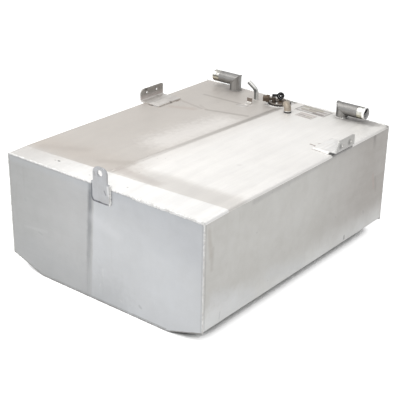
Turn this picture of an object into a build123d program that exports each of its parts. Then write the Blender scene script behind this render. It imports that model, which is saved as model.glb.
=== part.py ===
from build123d import *
import math
import os

os.makedirs("parts", exist_ok=True)

# Welded aluminium boat fuel tank, in millimetres. The origin is the middle of the flat bottom,
# +Z is up, +Y runs from the front plate to the rear, and +X is to the right seen from the front.

# Shell
tank_width = 762.0
tank_length = 978.0
tank_height = 382.0
sheet = 3.2
bilge_width = 130.0
bilge_height = 44.0
fold_radius = 12.0
top_bend_radius = 6.0
top_flange_depth = 8.0
seam_rounding = 1.4

# Tilted strip along the front of the top
strip_drop = 3.0
strip_depth_left = 68.0
strip_depth_right = 105.0

# Stiffening creases, ridges pressed outwards in the sheet
crease_width = 13.0
crease_height = 2.2
crease_runout = 14.0
crease_tip_share = 0.15
top_crease_front_x = -40.0
top_crease_rear_x = 11.0
top_crease_front_gap = 6.0
top_crease_rear_gap = 12.0
front_crease_top_x = -32.5
front_crease_bottom_x = -57.0
front_crease_margin = 12.0
front_crease_top_gap = 1.0

# Slosh baffles
baffle_count = 2
baffle_foot_clearance = 21.0
baffle_side_start = 82.0
baffle_top_corner_width = 58.0
baffle_top_corner_height = 50.0
baffle_flange_width = 19.0
baffle_bend_radius = 5.0

# Front hold-down lug
lug_thickness = 6.4
lug_x = 10.5
lug_tab_width = 54.0
lug_tab_height = 55.0
lug_tab_radius = 20.0
lug_foot_width = 69.0
lug_foot_rise = 9.0
lug_foot_drop = 54.0
lug_foot_radius = 12.0
lug_hole_height = 37.0
lug_hole_diameter = 20.0

# Folded angle brackets
bracket_thickness = 4.8
bracket_bend_radius = 9.0
bracket_hole_diameter = 9.0
bracket_hole_spacing = 51.0
right_bracket_overhang = 7.0
right_bracket_base = 82.0
right_bracket_setback = 351.0
right_bracket_length = 113.0
right_bracket_height = 39.0
right_bracket_slope = 20.0
right_bracket_front_radius = 4.0
right_bracket_rear_radius = 7.0
right_bracket_hole_height = 20.5
left_bracket_overhang = 13.0
left_bracket_base = 86.0
left_bracket_setback = 364.0
left_bracket_length = 116.0
left_bracket_height = 44.0
left_bracket_slope = 0.0
left_bracket_front_radius = 17.0
left_bracket_rear_radius = 6.0
left_bracket_hole_height = 28.0

# Filler necks: a riser and a spout, mitred, with a turned hose end
filler_outer = 41.3
filler_wall = 3.2
left_filler_x = -229.0
left_filler_setback = 32.0
left_filler_height = 37.0
right_filler_x = 215.0
right_filler_setback = 27.0
right_filler_height = 29.5
filler_reach = 92.0
hose_end_outer = 41.0
hose_end_length = 28.0
hose_end_rounding = 1.5

# Vent tube
vent_outer = 15.9
vent_wall = 1.65
vent_x = -107.0
vent_setback = 74.0
vent_straight = 36.0
vent_lean = 57.0
vent_run = 40.0
vent_bend_radius = 26.0

# Bonding tab
tab_width = 21.0
tab_depth = 27.0
tab_height = 18.0
tab_thickness = 2.0
tab_x = -102.0
tab_setback = 146.0
tab_hole_diameter = 5.5

# Fuel gauge sender
sender_x = -19.0
sender_setback = 57.0
sender_bore = 44.0
ring_diameter = 82.0
ring_thickness = 4.0
gasket_diameter = 78.0
gasket_thickness = 2.0
flange_diameter = 74.0
flange_thickness = 3.0
screw_count = 5
screw_circle = 56.0
screw_start_angle = 68.0
screw_diameter = 4.8
screw_head_diameter = 9.0
screw_head_height = 3.0
screw_clearance = 0.2
screw_bite = 3.0
stem_width = 16.0
stem_depth = 9.0
stem_wall = 1.6
pivot_height = 192.0
housing_width = 30.0
housing_height = 42.0
housing_depth = 12.0
housing_rounding = 3.0
pivot_diameter = 5.0
pivot_length = 10.0
pivot_clearance = 0.06
pivot_side_gap = 0.3
hub_diameter = 12.0
hub_length = 7.0
clip_diameter = 9.0
clip_thickness = 1.2
arm_wire = 3.0
arm_length = 215.0
arm_rest_angle = 36.0
arm_end_length = 46.0
arm_bend_radius = 6.0
arm_seat = 0.8
float_diameter = 38.0
float_length = 42.0
float_rounding = 5.0
float_clearance = 0.05

# Terminals and the coiled gauge lead
left_stud_offset = (-27.0, 0.0)
centre_stud_offset = (4.0, -1.0)
stud_diameter = 4.0
stud_height = 9.0
stud_nut_width = 8.0
stud_nut_height = 3.2
boot_diameter = 9.0
left_lead_height = 15.5
centre_lead_height = 7.5
boot_cap = 1.2
lead_diameter = 6.0
lead_ring_radius = 10.0
lead_direction = 38.3
lead_ring_reach = 25.5

# Fuel pickup and its elbow
pickup_x = 53.0
pickup_setback = 114.0
elbow_outer = 24.0
elbow_bend_radius = 12.5
elbow_axis_height = 23.0
elbow_leg = 26.0
elbow_direction = 145.0
grommet_diameter = 26.5
grommet_height = 4.5
collar_diameter = 26.0
collar_height = 2.5
elbow_nut_width = 22.0
elbow_nut_length = 8.0
hex_sides = 6
dip_outer = 12.7
dip_wall = 1.2
dip_clearance = 0.15
dip_foot_height = 32.0
strainer_diameter = 20.0
strainer_height = 26.0
strainer_overlap = 10.0
strainer_rounding = 5.0
washer_rounding_share = 0.25

# Outlet port with its hose fitting
port_offset = (-10.0, -21.0)
port_diameter = 13.0
port_height = 18.0
port_rounding = 2.0
outlet_height = 10.5
outlet_tilt = 5.0
outlet_neck_diameter = 10.0
outlet_start = 16.0
outlet_length = 22.0
outlet_hex_width = 24.0
outlet_hex_length = 11.0
outlet_barrel_diameter = 21.0
outlet_bore_diameter = 12.0
outlet_bore_depth = 16.0

# Foil plates on the top
label_thickness = 0.6
large_label_x = 114.5
large_label_setback = 45.0
large_label_length = 126.0
large_label_depth = 62.0
small_label_x = 120.0
small_label_setback = 103.0
small_label_length = 68.0
small_label_depth = 40.0
label_turn = -3.5

# Places worked out from the sizes: overhangs are measured from the side walls, setbacks from
# the rear plate, and offsets from the sender's axis
half_width = tank_width / 2
front_y = -tank_length / 2
rear_y = tank_length / 2
left_filler_y = rear_y - left_filler_setback
right_filler_y = rear_y - right_filler_setback
vent_y = rear_y - vent_setback
tab_y = rear_y - tab_setback
pickup_y = rear_y - pickup_setback
sender_y = rear_y - sender_setback
left_stud_x = sender_x + left_stud_offset[0]
left_stud_y = sender_y + left_stud_offset[1]
centre_stud_x = sender_x + centre_stud_offset[0]
centre_stud_y = sender_y + centre_stud_offset[1]
port_x = sender_x + port_offset[0]
port_y = sender_y + port_offset[1]
large_label_y = rear_y - large_label_setback
small_label_y = rear_y - small_label_setback
flange_foot = tank_height - top_flange_depth
strip_top = tank_height - strip_drop
break_angle = math.atan2(strip_depth_right - strip_depth_left, tank_width)
break_y = front_y + (strip_depth_left + strip_depth_right) / 2
filler_radius = filler_outer / 2
filler_bore = filler_outer - 2 * filler_wall
ring_top = tank_height + ring_thickness
gasket_top = ring_top + gasket_thickness
flange_top = gasket_top + flange_thickness


def crease_ridge(start, end, outward, rise_from):
    """A pressed ridge that runs from start to end and stands outward from the sheet."""
    run = end - start
    along = run.normalized()
    base = start + outward * rise_from
    section = Plane(origin=base, x_dir=outward.cross(along), z_dir=along)
    stations = [
        (0.0, crease_tip_share),
        (crease_runout, 1.0),
        (run.length - crease_runout, 1.0),
        (run.length, crease_tip_share),
    ]
    with BuildPart() as ridge:
        for reach, share in stations:
            half = crease_width / 2 * share
            with BuildSketch(section.offset(reach)):
                Polygon((-half, 0), (half, 0), (0, crease_height * share), align=None)
        loft(ruled=True)
    return ridge.part


def press_crease(start, end, outward):
    """Two ridges: one to add outside the sheet and one to take from its inner face."""
    outer = crease_ridge(start, end, outward, 0.0)
    inner = crease_ridge(start, end, outward, -sheet)
    return outer, inner


def channel_section(plane, top, stretch):
    """The top sheet's section: a flat with both long edges bent down."""
    width = tank_width * stretch
    hollow = top_flange_depth - sheet
    with BuildSketch(plane) as section:
        with Locations((0, top - top_flange_depth / 2)):
            Rectangle(width, top_flange_depth)
        fillet(section.vertices().group_by(Axis.Y)[-1], radius=top_bend_radius)
        with Locations((0, top - top_flange_depth + hollow / 2)):
            Rectangle(width - 2 * sheet, hollow, mode=Mode.SUBTRACT)
        inner_corners = section.vertices().filter_by_position(Axis.Y, top - sheet, top - sheet)
        fillet(inner_corners, radius=top_bend_radius - sheet)
    return section.sketch


def shell_outline(top):
    """The tank's cross section inside a sketch, square at the top and chamfered at the bilges."""
    bottom_half = half_width - bilge_width
    outline = Polygon(
        (-half_width, top),
        (-half_width, bilge_height),
        (-bottom_half, 0),
        (bottom_half, 0),
        (half_width, bilge_height),
        (half_width, top),
        align=None,
    )
    return outline


# Wrapper: bottom, bilge chamfers and side walls in one folded sheet
shell_length = tank_length - 2 * sheet
wall_front = Plane.XZ.offset(-(front_y + sheet))
with BuildPart() as wrapper:
    with BuildSketch(wall_front) as wrapper_section:
        shell_outline(tank_height)
        folds = wrapper_section.vertices().sort_by(Axis.Y)[:4]
        fillet(folds, radius=fold_radius)
        offset(wrapper_section.sketch, amount=-sheet, kind=Kind.INTERSECTION, mode=Mode.SUBTRACT)
        with Locations((0, (flange_foot + tank_height) / 2)):
            Rectangle(tank_width, top_flange_depth, mode=Mode.SUBTRACT)
    extrude(amount=-shell_length)
    left_depth = strip_depth_left + sheet * math.tan(break_angle)
    for side, depth in ((-1, left_depth), (1, strip_depth_right)):
        with BuildSketch(Plane.YZ.offset(side * half_width)):
            Polygon(
                (front_y + sheet, flange_foot),
                (front_y + sheet, flange_foot - strip_drop),
                (front_y + depth, flange_foot),
                align=None,
            )
        extrude(amount=-side * sheet, mode=Mode.SUBTRACT)
wrapper.part.label = "wrapper"
export_step(wrapper.part, "parts/wrapper.step")

# Top sheet: the tilted front strip and the level panel behind it meet on a skewed break line
break_plane = Plane(
    origin=(0, break_y, 0),
    x_dir=(math.cos(break_angle), math.sin(break_angle), 0),
    z_dir=(math.sin(break_angle), -math.cos(break_angle), 0),
)
break_stretch = 1 / math.cos(break_angle)
top_crease_rear_y = sender_y - ring_diameter / 2 - top_crease_rear_gap
top_crease = press_crease(
    Vector(top_crease_front_x, break_y + top_crease_front_gap, tank_height),
    Vector(top_crease_rear_x, top_crease_rear_y, tank_height),
    Vector(0, 0, 1),
)
strip_section = channel_section(wall_front, strip_top, 1.0)
break_section = channel_section(break_plane, tank_height, break_stretch)
rear_section = channel_section(Plane.XZ.offset(-(rear_y - sheet)), tank_height, 1.0)
with BuildPart() as top_sheet:
    loft([strip_section, break_section], ruled=True)
    loft([break_section, rear_section], ruled=True)
    add(top_crease[0])
    add(top_crease[1], mode=Mode.SUBTRACT)
    with BuildSketch(Plane.XY.offset(tank_height)):
        with Locations((left_filler_x, left_filler_y), (right_filler_x, right_filler_y)):
            Circle(filler_bore / 2)
        with Locations((sender_x, sender_y)):
            Circle(sender_bore / 2)
        with Locations((vent_x, vent_y)):
            Circle(vent_outer / 2 - vent_wall)
        with Locations((pickup_x, pickup_y)):
            Circle(dip_outer / 2 + dip_clearance)
    extrude(amount=-top_flange_depth, mode=Mode.SUBTRACT)
top_sheet.part.label = "top_sheet"
export_step(top_sheet.part, "parts/top_sheet.step")


# Front plate: flat, with a skewed crease that runs out above the bottom
front_crease = press_crease(
    Vector(front_crease_top_x, front_y, strip_top - front_crease_top_gap),
    Vector(front_crease_bottom_x, front_y, front_crease_margin),
    Vector(0, -1, 0),
)
with BuildPart() as front_plate:
    with BuildSketch(Plane.XZ.offset(-front_y)) as front_face:
        shell_outline(strip_top)
        fillet(front_face.vertices().sort_by(Axis.Y)[:4], radius=fold_radius)
        fillet(front_face.vertices().group_by(Axis.Y)[-1], radius=top_bend_radius)
    extrude(amount=-sheet)
    fillet(front_plate.faces().sort_by(Axis.Y)[0].edges(), radius=seam_rounding)
    add(front_crease[0])
    add(front_crease[1], mode=Mode.SUBTRACT)
front_plate.part.label = "front_plate"
export_step(front_plate.part, "parts/front_plate.step")

# Rear plate: flat
with BuildPart() as rear_plate:
    with BuildSketch(Plane.XZ.offset(-rear_y)) as rear_face:
        shell_outline(tank_height)
        fillet(rear_face.vertices().sort_by(Axis.Y)[:4], radius=fold_radius)
        fillet(rear_face.vertices().group_by(Axis.Y)[-1], radius=top_bend_radius)
    extrude(amount=sheet)
    fillet(rear_plate.faces().sort_by(Axis.Y)[-1].edges(), radius=seam_rounding)
rear_plate.part.label = "rear_plate"
export_step(rear_plate.part, "parts/rear_plate.step")


def baffle_flange(edge_x, edge_z, inward, length):
    """A flange folded rearwards off a baffle's edge, square to the inward direction."""
    middle = Vector(edge_x, baffle_y, edge_z)
    with BuildPart() as flange:
        with BuildSketch(Plane(middle, x_dir=(0, 1, 0), z_dir=Vector(0, 1, 0).cross(inward))):
            with BuildLine():
                FilletPolyline(
                    (0, baffle_bend_radius + sheet),
                    (0, sheet / 2),
                    (baffle_flange_width - sheet / 2, sheet / 2),
                    radius=baffle_bend_radius,
                )
            trace(line_width=sheet)
        extrude(amount=length / 2, both=True)
    return flange.part


# Slosh baffles: plates with open corners, so that fuel passes low down and air passes high
# up, and with flanges along their four seats
inner_half = half_width - sheet
inner_top = tank_height - sheet
baffle_top_half = inner_half - baffle_top_corner_width
baffle_side_top = inner_top - baffle_top_corner_height
baffle_side_length = baffle_side_top - baffle_side_start
baffle_side_middle = (baffle_side_top + baffle_side_start) / 2
plate_half = inner_half - baffle_bend_radius
plate_top = inner_top - baffle_bend_radius
plate_bottom = sheet + baffle_bend_radius
baffle_foot = half_width - bilge_width - baffle_foot_clearance
baffle_pitch = tank_length / (baffle_count + 1)
for number in range(baffle_count):
    baffle_y = front_y + baffle_pitch * (number + 1)
    with BuildPart() as baffle:
        with BuildSketch(Plane.XZ.offset(-baffle_y)):
            Polygon(
                (-baffle_foot, plate_bottom),
                (baffle_foot, plate_bottom),
                (plate_half, baffle_side_start),
                (plate_half, baffle_side_top),
                (baffle_top_half, plate_top),
                (-baffle_top_half, plate_top),
                (-plate_half, baffle_side_top),
                (-plate_half, baffle_side_start),
                align=None,
            )
        extrude(amount=sheet / 2, both=True)
        add(baffle_flange(0, inner_top, Vector(0, 0, -1), 2 * baffle_top_half))
        add(baffle_flange(0, sheet, Vector(0, 0, 1), 2 * baffle_foot))
        for side in (-1, 1):
            seat = (side * inner_half, baffle_side_middle)
            add(baffle_flange(*seat, Vector(-side, 0, 0), baffle_side_length))
    baffle_name = "front_baffle" if number == 0 else "rear_baffle"
    baffle.part.label = baffle_name
    export_step(baffle.part, f"parts/{baffle_name}.step")

# Front lug: a wide foot welded to the plate and a narrower tab with an eye above the tank's top
with BuildPart() as front_lug:
    with BuildSketch(Plane.XZ.offset(-front_y)) as lug_face:
        foot_height = lug_foot_drop + lug_foot_rise
        with Locations((lug_x, tank_height + lug_foot_rise - foot_height / 2)):
            Rectangle(lug_foot_width, foot_height)
        fillet(lug_face.vertices().group_by(Axis.Y)[0], radius=lug_foot_radius)
        fillet(lug_face.vertices().group_by(Axis.Y)[-1], radius=lug_foot_rise / 2)
        with Locations((lug_x, tank_height + lug_tab_height / 2)):
            Rectangle(lug_tab_width, lug_tab_height)
        fillet(lug_face.vertices().group_by(Axis.Y)[-1], radius=lug_tab_radius)
        with Locations((lug_x, tank_height + lug_hole_height)):
            Circle(lug_hole_diameter / 2, mode=Mode.SUBTRACT)
    extrude(amount=lug_thickness)
front_lug.part.label = "front_lug"
export_step(front_lug.part, "parts/front_lug.step")


def angle_bracket(
    side,
    overhang,
    base,
    setback,
    length,
    height,
    slope,
    front_radius,
    rear_radius,
    hole_height,
):
    """A folded angle bracket: a base on the tank's top and an upright with two bolt holes."""
    outer_x = side * (half_width + overhang)
    inner_x = outer_x - side * base
    front = rear_y - setback
    rear = front + length
    with BuildPart() as bracket:
        with BuildSketch(Plane.XZ.offset(-front)):
            with BuildLine():
                FilletPolyline(
                    (inner_x, tank_height + bracket_thickness / 2),
                    (outer_x - side * bracket_thickness / 2, tank_height + bracket_thickness / 2),
                    (outer_x - side * bracket_thickness / 2, tank_height + height),
                    radius=bracket_bend_radius - bracket_thickness / 2,
                )
            trace(line_width=bracket_thickness)
        extrude(amount=-length)
        with BuildSketch(Plane.YZ.offset(outer_x)) as upright:
            Polygon(
                (front, tank_height),
                (front + slope, tank_height + height),
                (rear, tank_height + height),
                (rear, tank_height),
                align=None,
            )
            upper = upright.vertices().group_by(Axis.Y)[-1].sort_by(Axis.X)
            fillet(upper[0], radius=front_radius)
            upper = upright.vertices().group_by(Axis.Y)[-1].sort_by(Axis.X)
            fillet(upper[-1], radius=rear_radius)
        extrude(amount=-side * base, mode=Mode.INTERSECT)
        with BuildSketch(Plane.YZ.offset(outer_x)):
            middle = (front + slope + rear) / 2
            with Locations((middle, tank_height + hole_height)):
                with GridLocations(bracket_hole_spacing, 0, 2, 1):
                    Circle(bracket_hole_diameter / 2)
        extrude(amount=-side * bracket_thickness, mode=Mode.SUBTRACT)
    return bracket.part


right_bracket = angle_bracket(
    1,
    right_bracket_overhang,
    right_bracket_base,
    right_bracket_setback,
    right_bracket_length,
    right_bracket_height,
    right_bracket_slope,
    right_bracket_front_radius,
    right_bracket_rear_radius,
    right_bracket_hole_height,
)
right_bracket.label = "right_bracket"
export_step(right_bracket, "parts/right_bracket.step")

left_bracket = angle_bracket(
    -1,
    left_bracket_overhang,
    left_bracket_base,
    left_bracket_setback,
    left_bracket_length,
    left_bracket_height,
    left_bracket_slope,
    left_bracket_front_radius,
    left_bracket_rear_radius,
    left_bracket_hole_height,
)
left_bracket.label = "left_bracket"
export_step(left_bracket, "parts/left_bracket.step")

# Filler necks, one on each side, pointing outwards
necks = (
    ("left", left_filler_x, left_filler_y, left_filler_height, -1),
    ("right", right_filler_x, right_filler_y, right_filler_height, 1),
)
for name, base_x, filler_y, filler_height, side in necks:
    filler_axis_z = tank_height + filler_height
    mitre = Plane(origin=(base_x, filler_y, filler_axis_z), z_dir=(side, 0, 1))
    spout_end = base_x + side * (filler_reach - hose_end_length)
    with BuildPart() as riser:
        with BuildSketch(Plane.XY.offset(tank_height)):
            with Locations((base_x, filler_y)):
                Circle(filler_radius)
                Circle(filler_bore / 2, mode=Mode.SUBTRACT)
        extrude(amount=filler_height + filler_outer)
        split(bisect_by=mitre, keep=Keep.BOTTOM)
    riser.part.label = f"{name}_riser"
    export_step(riser.part, f"parts/{name}_riser.step")

    with BuildPart() as spout:
        with BuildSketch(Plane.YZ.offset(spout_end)):
            with Locations((filler_y, filler_axis_z)):
                Circle(filler_radius)
                Circle(filler_bore / 2, mode=Mode.SUBTRACT)
        extrude(amount=-side * (filler_reach - hose_end_length + filler_outer))
        split(bisect_by=mitre, keep=Keep.TOP)
    spout.part.label = f"{name}_spout"
    export_step(spout.part, f"parts/{name}_spout.step")

    with BuildPart() as hose_end:
        with BuildSketch(Plane.YZ.offset(spout_end)):
            with Locations((filler_y, filler_axis_z)):
                Circle(hose_end_outer / 2)
                Circle(filler_bore / 2, mode=Mode.SUBTRACT)
        extrude(amount=side * hose_end_length)
        rims = hose_end.edges().filter_by(GeomType.CIRCLE).sort_by(SortBy.RADIUS)
        fillet(rims[-2:], radius=hose_end_rounding)
    hose_end.part.label = f"{name}_hose_end"
    export_step(hose_end.part, f"parts/{name}_hose_end.step")

# Vent tube: straight up and then bent over towards the left
vent_angle = math.radians(vent_lean)
vent_knee = (vent_x, vent_y, tank_height + vent_straight)
vent_tip = (
    vent_x - vent_run * math.sin(vent_angle),
    vent_y,
    tank_height + vent_straight + vent_run * math.cos(vent_angle),
)
with BuildPart() as vent_tube:
    with BuildLine() as vent_path:
        FilletPolyline((vent_x, vent_y, tank_height), vent_knee, vent_tip, radius=vent_bend_radius)
    with BuildSketch(Plane.XY.offset(tank_height)):
        with Locations((vent_x, vent_y)):
            Circle(vent_outer / 2)
            Circle(vent_outer / 2 - vent_wall, mode=Mode.SUBTRACT)
    sweep(path=vent_path.line)
vent_tube.part.label = "vent_tube"
export_step(vent_tube.part, "parts/vent_tube.step")

# Bonding tab: a small folded angle with a screw hole in its foot
with BuildPart() as ground_tab:
    with BuildSketch(Plane.YZ.offset(tab_x - tab_width / 2)):
        with BuildLine():
            FilletPolyline(
                (tab_y, tank_height + tab_thickness / 2),
                (tab_y + tab_depth - tab_thickness / 2, tank_height + tab_thickness / 2),
                (tab_y + tab_depth - tab_thickness / 2, tank_height + tab_height),
                radius=tab_thickness,
            )
        trace(line_width=tab_thickness)
    extrude(amount=tab_width)
    with Locations(Plane(origin=(tab_x, tab_y + tab_depth / 2, tank_height + tab_thickness))):
        Hole(radius=tab_hole_diameter / 2, depth=tab_thickness)
ground_tab.part.label = "ground_tab"
export_step(ground_tab.part, "parts/ground_tab.step")

# Sender mounting stack: welded ring, gasket and flange on one bolt circle
sender_axis = Location((sender_x, sender_y))
stack = (
    ("sender_ring", tank_height, ring_thickness, ring_diameter, sender_bore, screw_bite),
    ("sender_gasket", ring_top, gasket_thickness, gasket_diameter, sender_bore, gasket_thickness),
    ("sender_flange", gasket_top, flange_thickness, flange_diameter, 0.0, flange_thickness),
)
for name, level, thickness, diameter, bore, hole_depth in stack:
    with BuildPart() as disc:
        with BuildSketch(Plane.XY.offset(level)):
            with Locations(sender_axis):
                Circle(diameter / 2)
                if bore > 0:
                    Circle(bore / 2, mode=Mode.SUBTRACT)
        extrude(amount=thickness)
        with BuildSketch(Plane.XY.offset(level + thickness)):
            with Locations(sender_axis):
                with PolarLocations(screw_circle / 2, screw_count, screw_start_angle):
                    Circle(screw_diameter / 2 + screw_clearance / 2)
        extrude(amount=-hole_depth, mode=Mode.SUBTRACT)
    disc.part.label = name
    export_step(disc.part, f"parts/{name}.step")

# Sender screws: pan heads on the flange, shanks into the welded ring
screw_length = flange_thickness + gasket_thickness + screw_bite
with BuildPart() as sender_screws:
    with BuildSketch(Plane.XY.offset(flange_top)):
        with Locations(sender_axis):
            with PolarLocations(screw_circle / 2, screw_count, screw_start_angle):
                Circle(screw_head_diameter / 2)
    extrude(amount=screw_head_height)
    fillet(sender_screws.edges().group_by(Axis.Z)[-1], radius=screw_head_height / 2)
    with BuildSketch(Plane.XY.offset(flange_top)):
        with Locations(sender_axis):
            with PolarLocations(screw_circle / 2, screw_count, screw_start_angle):
                Circle(screw_diameter / 2)
    extrude(amount=-screw_length)
sender_screws.part.label = "sender_screws"
export_step(sender_screws.part, "parts/sender_screws.step")

# Sender stem: a folded channel from the flange down to the sensor housing
housing_top = pivot_height + housing_height / 2
with BuildPart() as sender_stem:
    with BuildSketch(Plane.XY.offset(gasket_top)):
        with Locations((sender_x, sender_y)):
            Rectangle(stem_width, stem_depth)
        with Locations((sender_x, sender_y - stem_wall)):
            Rectangle(stem_width - 2 * stem_wall, stem_depth, mode=Mode.SUBTRACT)
    extrude(amount=-(gasket_top - housing_top))
sender_stem.part.label = "sender_stem"
export_step(sender_stem.part, "parts/sender_stem.step")

# Sensor housing with the pivot pin on its rear face
housing_rear = sender_y + housing_depth / 2
with BuildPart() as sensor_housing:
    with BuildSketch(Plane.XZ.offset(-housing_rear)):
        with Locations((sender_x, pivot_height)):
            RectangleRounded(housing_width, housing_height, housing_rounding * 2)
    extrude(amount=housing_depth)
    with BuildSketch(Plane.XZ.offset(-housing_rear)):
        with Locations((sender_x, pivot_height)):
            Circle(pivot_diameter / 2)
    extrude(amount=-pivot_length)
sensor_housing.part.label = "sensor_housing"
export_step(sensor_housing.part, "parts/sensor_housing.step")

# Clip that keeps the float arm on its pivot
clip_y = housing_rear + pivot_side_gap + hub_length + pivot_side_gap
with BuildPart() as pivot_clip:
    with BuildSketch(Plane.XZ.offset(-clip_y)):
        with Locations((sender_x, pivot_height)):
            Circle(clip_diameter / 2)
            Circle(pivot_diameter / 2, mode=Mode.SUBTRACT)
    extrude(amount=-clip_thickness)
pivot_clip.part.label = "pivot_clip"
export_step(pivot_clip.part, "parts/pivot_clip.step")

# Float arm: a hub on the pivot and a wire that ends in the float, hanging at its low stop
rest_angle = math.radians(arm_rest_angle)
arm_direction = Vector(-math.cos(rest_angle), 0, -math.sin(rest_angle))
hub_y = housing_rear + pivot_side_gap
arm_y = hub_y + hub_length / 2
pivot_centre = Vector(sender_x, arm_y, pivot_height)
arm_elbow = pivot_centre + arm_direction * arm_length
arm_tip = arm_elbow - Vector(0, arm_end_length, 0)
with BuildPart() as float_arm:
    with BuildLine() as arm_path:
        FilletPolyline(
            pivot_centre + arm_direction * (hub_diameter / 2 - arm_seat),
            arm_elbow,
            arm_tip,
            radius=arm_bend_radius,
        )
    with BuildSketch(Plane(origin=arm_path.line @ 0, z_dir=arm_path.line % 0)):
        Circle(arm_wire / 2)
    sweep(path=arm_path.line)
    with BuildSketch(Plane.XZ.offset(-hub_y)):
        with Locations((sender_x, pivot_height)):
            Circle(hub_diameter / 2)
    extrude(amount=-hub_length)
    with BuildSketch(Plane.XZ.offset(-hub_y)):
        with Locations((sender_x, pivot_height)):
            Circle(pivot_diameter / 2 + pivot_clearance)
    extrude(amount=-hub_length, mode=Mode.SUBTRACT)
float_arm.part.label = "float_arm"
export_step(float_arm.part, "parts/float_arm.step")

# Float: a rounded drum on the wire's turned end
float_rear = arm_y - arm_bend_radius - arm_wire / 2
with BuildPart() as float_drum:
    with BuildSketch(Plane.XZ.offset(-float_rear)):
        with Locations((arm_elbow.X, arm_elbow.Z)):
            Circle(float_diameter / 2)
    extrude(amount=float_length)
    fillet(float_drum.edges(), radius=float_rounding)
    with BuildSketch(Plane.XZ.offset(-float_rear)):
        with Locations((arm_elbow.X, arm_elbow.Z)):
            Circle(arm_wire / 2 + float_clearance)
    extrude(amount=float_length, mode=Mode.SUBTRACT)
float_drum.part.label = "float"
export_step(float_drum.part, "parts/float.step")

# Terminal studs on the flange, each with its nut
stud_places = ((left_stud_x, left_stud_y), (centre_stud_x, centre_stud_y))
with BuildPart() as terminal_studs:
    with BuildSketch(Plane.XY.offset(flange_top)):
        with Locations(*stud_places):
            Circle(stud_diameter / 2)
    extrude(amount=stud_height)
    with BuildSketch(Plane.XY.offset(flange_top)):
        with Locations(*stud_places):
            RegularPolygon(stud_nut_width / 2, hex_sides, major_radius=False)
    extrude(amount=stud_nut_height)
terminal_studs.part.label = "terminal_studs"
export_step(terminal_studs.part, "parts/terminal_studs.step")

# Rubber boots over the studs, each tall enough to take the end of the lead
boot_foot = flange_top + stud_nut_height
lead_radius = lead_diameter / 2
boots = (
    ("left_boot", left_stud_x, left_stud_y, left_lead_height + lead_radius + boot_cap),
    ("centre_boot", centre_stud_x, centre_stud_y, centre_lead_height + lead_radius + boot_cap),
)
for name, boot_x, boot_y, boot_height in boots:
    with BuildPart() as boot:
        with BuildSketch(Plane.XY.offset(boot_foot)):
            with Locations((boot_x, boot_y)):
                Circle(boot_diameter / 2)
        extrude(amount=boot_height - stud_nut_height)
        fillet(boot.edges().group_by(Axis.Z)[-1], radius=boot_cap)
        with BuildSketch(Plane.XY.offset(boot_foot)):
            with Locations((boot_x, boot_y)):
                Circle(stud_diameter / 2)
        extrude(amount=stud_height - stud_nut_height, mode=Mode.SUBTRACT)
    boot.part.label = name
    export_step(boot.part, f"parts/{name}.step")

# Gauge lead: out of the left boot, one upright turn, and back to the centre boot
lead_angle = math.radians(lead_direction)
lead_along = Vector(math.cos(lead_angle), math.sin(lead_angle), 0)
ring_outer = lead_ring_radius + lead_radius
left_stud = Vector(left_stud_x, left_stud_y, flange_top)
centre_stud = Vector(centre_stud_x, centre_stud_y, flange_top)
ring_centre = left_stud + lead_along * lead_ring_reach + Vector(0, 0, ring_outer)
ring_section = Plane(origin=ring_centre, x_dir=lead_along, z_dir=(0, 0, -1))
bar_plane = Plane(origin=left_stud + Vector(0, 0, left_lead_height), z_dir=lead_along)
tail_start = ring_centre - Vector(0, 0, lead_ring_radius)
tail_end = centre_stud + Vector(0, 0, centre_lead_height)
with BuildPart() as sender_lead:
    with BuildSketch(ring_section):
        with Locations((lead_ring_radius, 0)):
            Circle(lead_radius)
    revolve(axis=Axis(ring_centre, lead_along.cross(Vector(0, 0, 1))), revolution_arc=360)
    with BuildSketch(bar_plane):
        Circle(lead_radius)
    extrude(amount=lead_ring_reach - lead_ring_radius)
    with BuildSketch(Plane(origin=tail_start, z_dir=tail_end - tail_start)):
        Circle(lead_radius)
    extrude(amount=(tail_end - tail_start).length)
    with BuildSketch(Plane.XY.offset(flange_top)):
        with Locations(*stud_places):
            Circle(boot_diameter / 2)
    extrude(amount=2 * ring_outer, mode=Mode.SUBTRACT)
sender_lead.part.label = "sender_lead"
export_step(sender_lead.part, "parts/sender_lead.step")

# Pickup: grommet, collar, cast elbow, closing nut, dip tube and strainer
pickup_stack = (
    ("pickup_grommet", tank_height, grommet_height, grommet_diameter),
    ("pickup_collar", tank_height + grommet_height, collar_height, collar_diameter),
)
for name, level, thickness, diameter in pickup_stack:
    with BuildPart() as washer:
        with BuildSketch(Plane.XY.offset(level)):
            with Locations((pickup_x, pickup_y)):
                Circle(diameter / 2)
                Circle(dip_outer / 2 + dip_clearance, mode=Mode.SUBTRACT)
        extrude(amount=thickness)
        outer_rims = washer.edges().filter_by(GeomType.CIRCLE).sort_by(Edge.length)[-2:]
        fillet(outer_rims, radius=thickness * washer_rounding_share)
    washer.part.label = name
    export_step(washer.part, f"parts/{name}.step")

elbow_foot = tank_height + grommet_height + collar_height
elbow_angle = math.radians(elbow_direction)
elbow_along = Vector(math.cos(elbow_angle), math.sin(elbow_angle), 0)
elbow_knee = Vector(pickup_x, pickup_y, tank_height + elbow_axis_height)
elbow_tip = elbow_knee + elbow_along * (elbow_leg - elbow_nut_length)
with BuildPart() as pickup_elbow:
    with BuildLine() as elbow_path:
        FilletPolyline(
            Vector(pickup_x, pickup_y, elbow_foot),
            elbow_knee,
            elbow_tip,
            radius=elbow_bend_radius,
        )
    with BuildSketch(Plane.XY.offset(elbow_foot)):
        with Locations((pickup_x, pickup_y)):
            Circle(elbow_outer / 2)
    sweep(path=elbow_path.line)
pickup_elbow.part.label = "pickup_elbow"
export_step(pickup_elbow.part, "parts/pickup_elbow.step")

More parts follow.
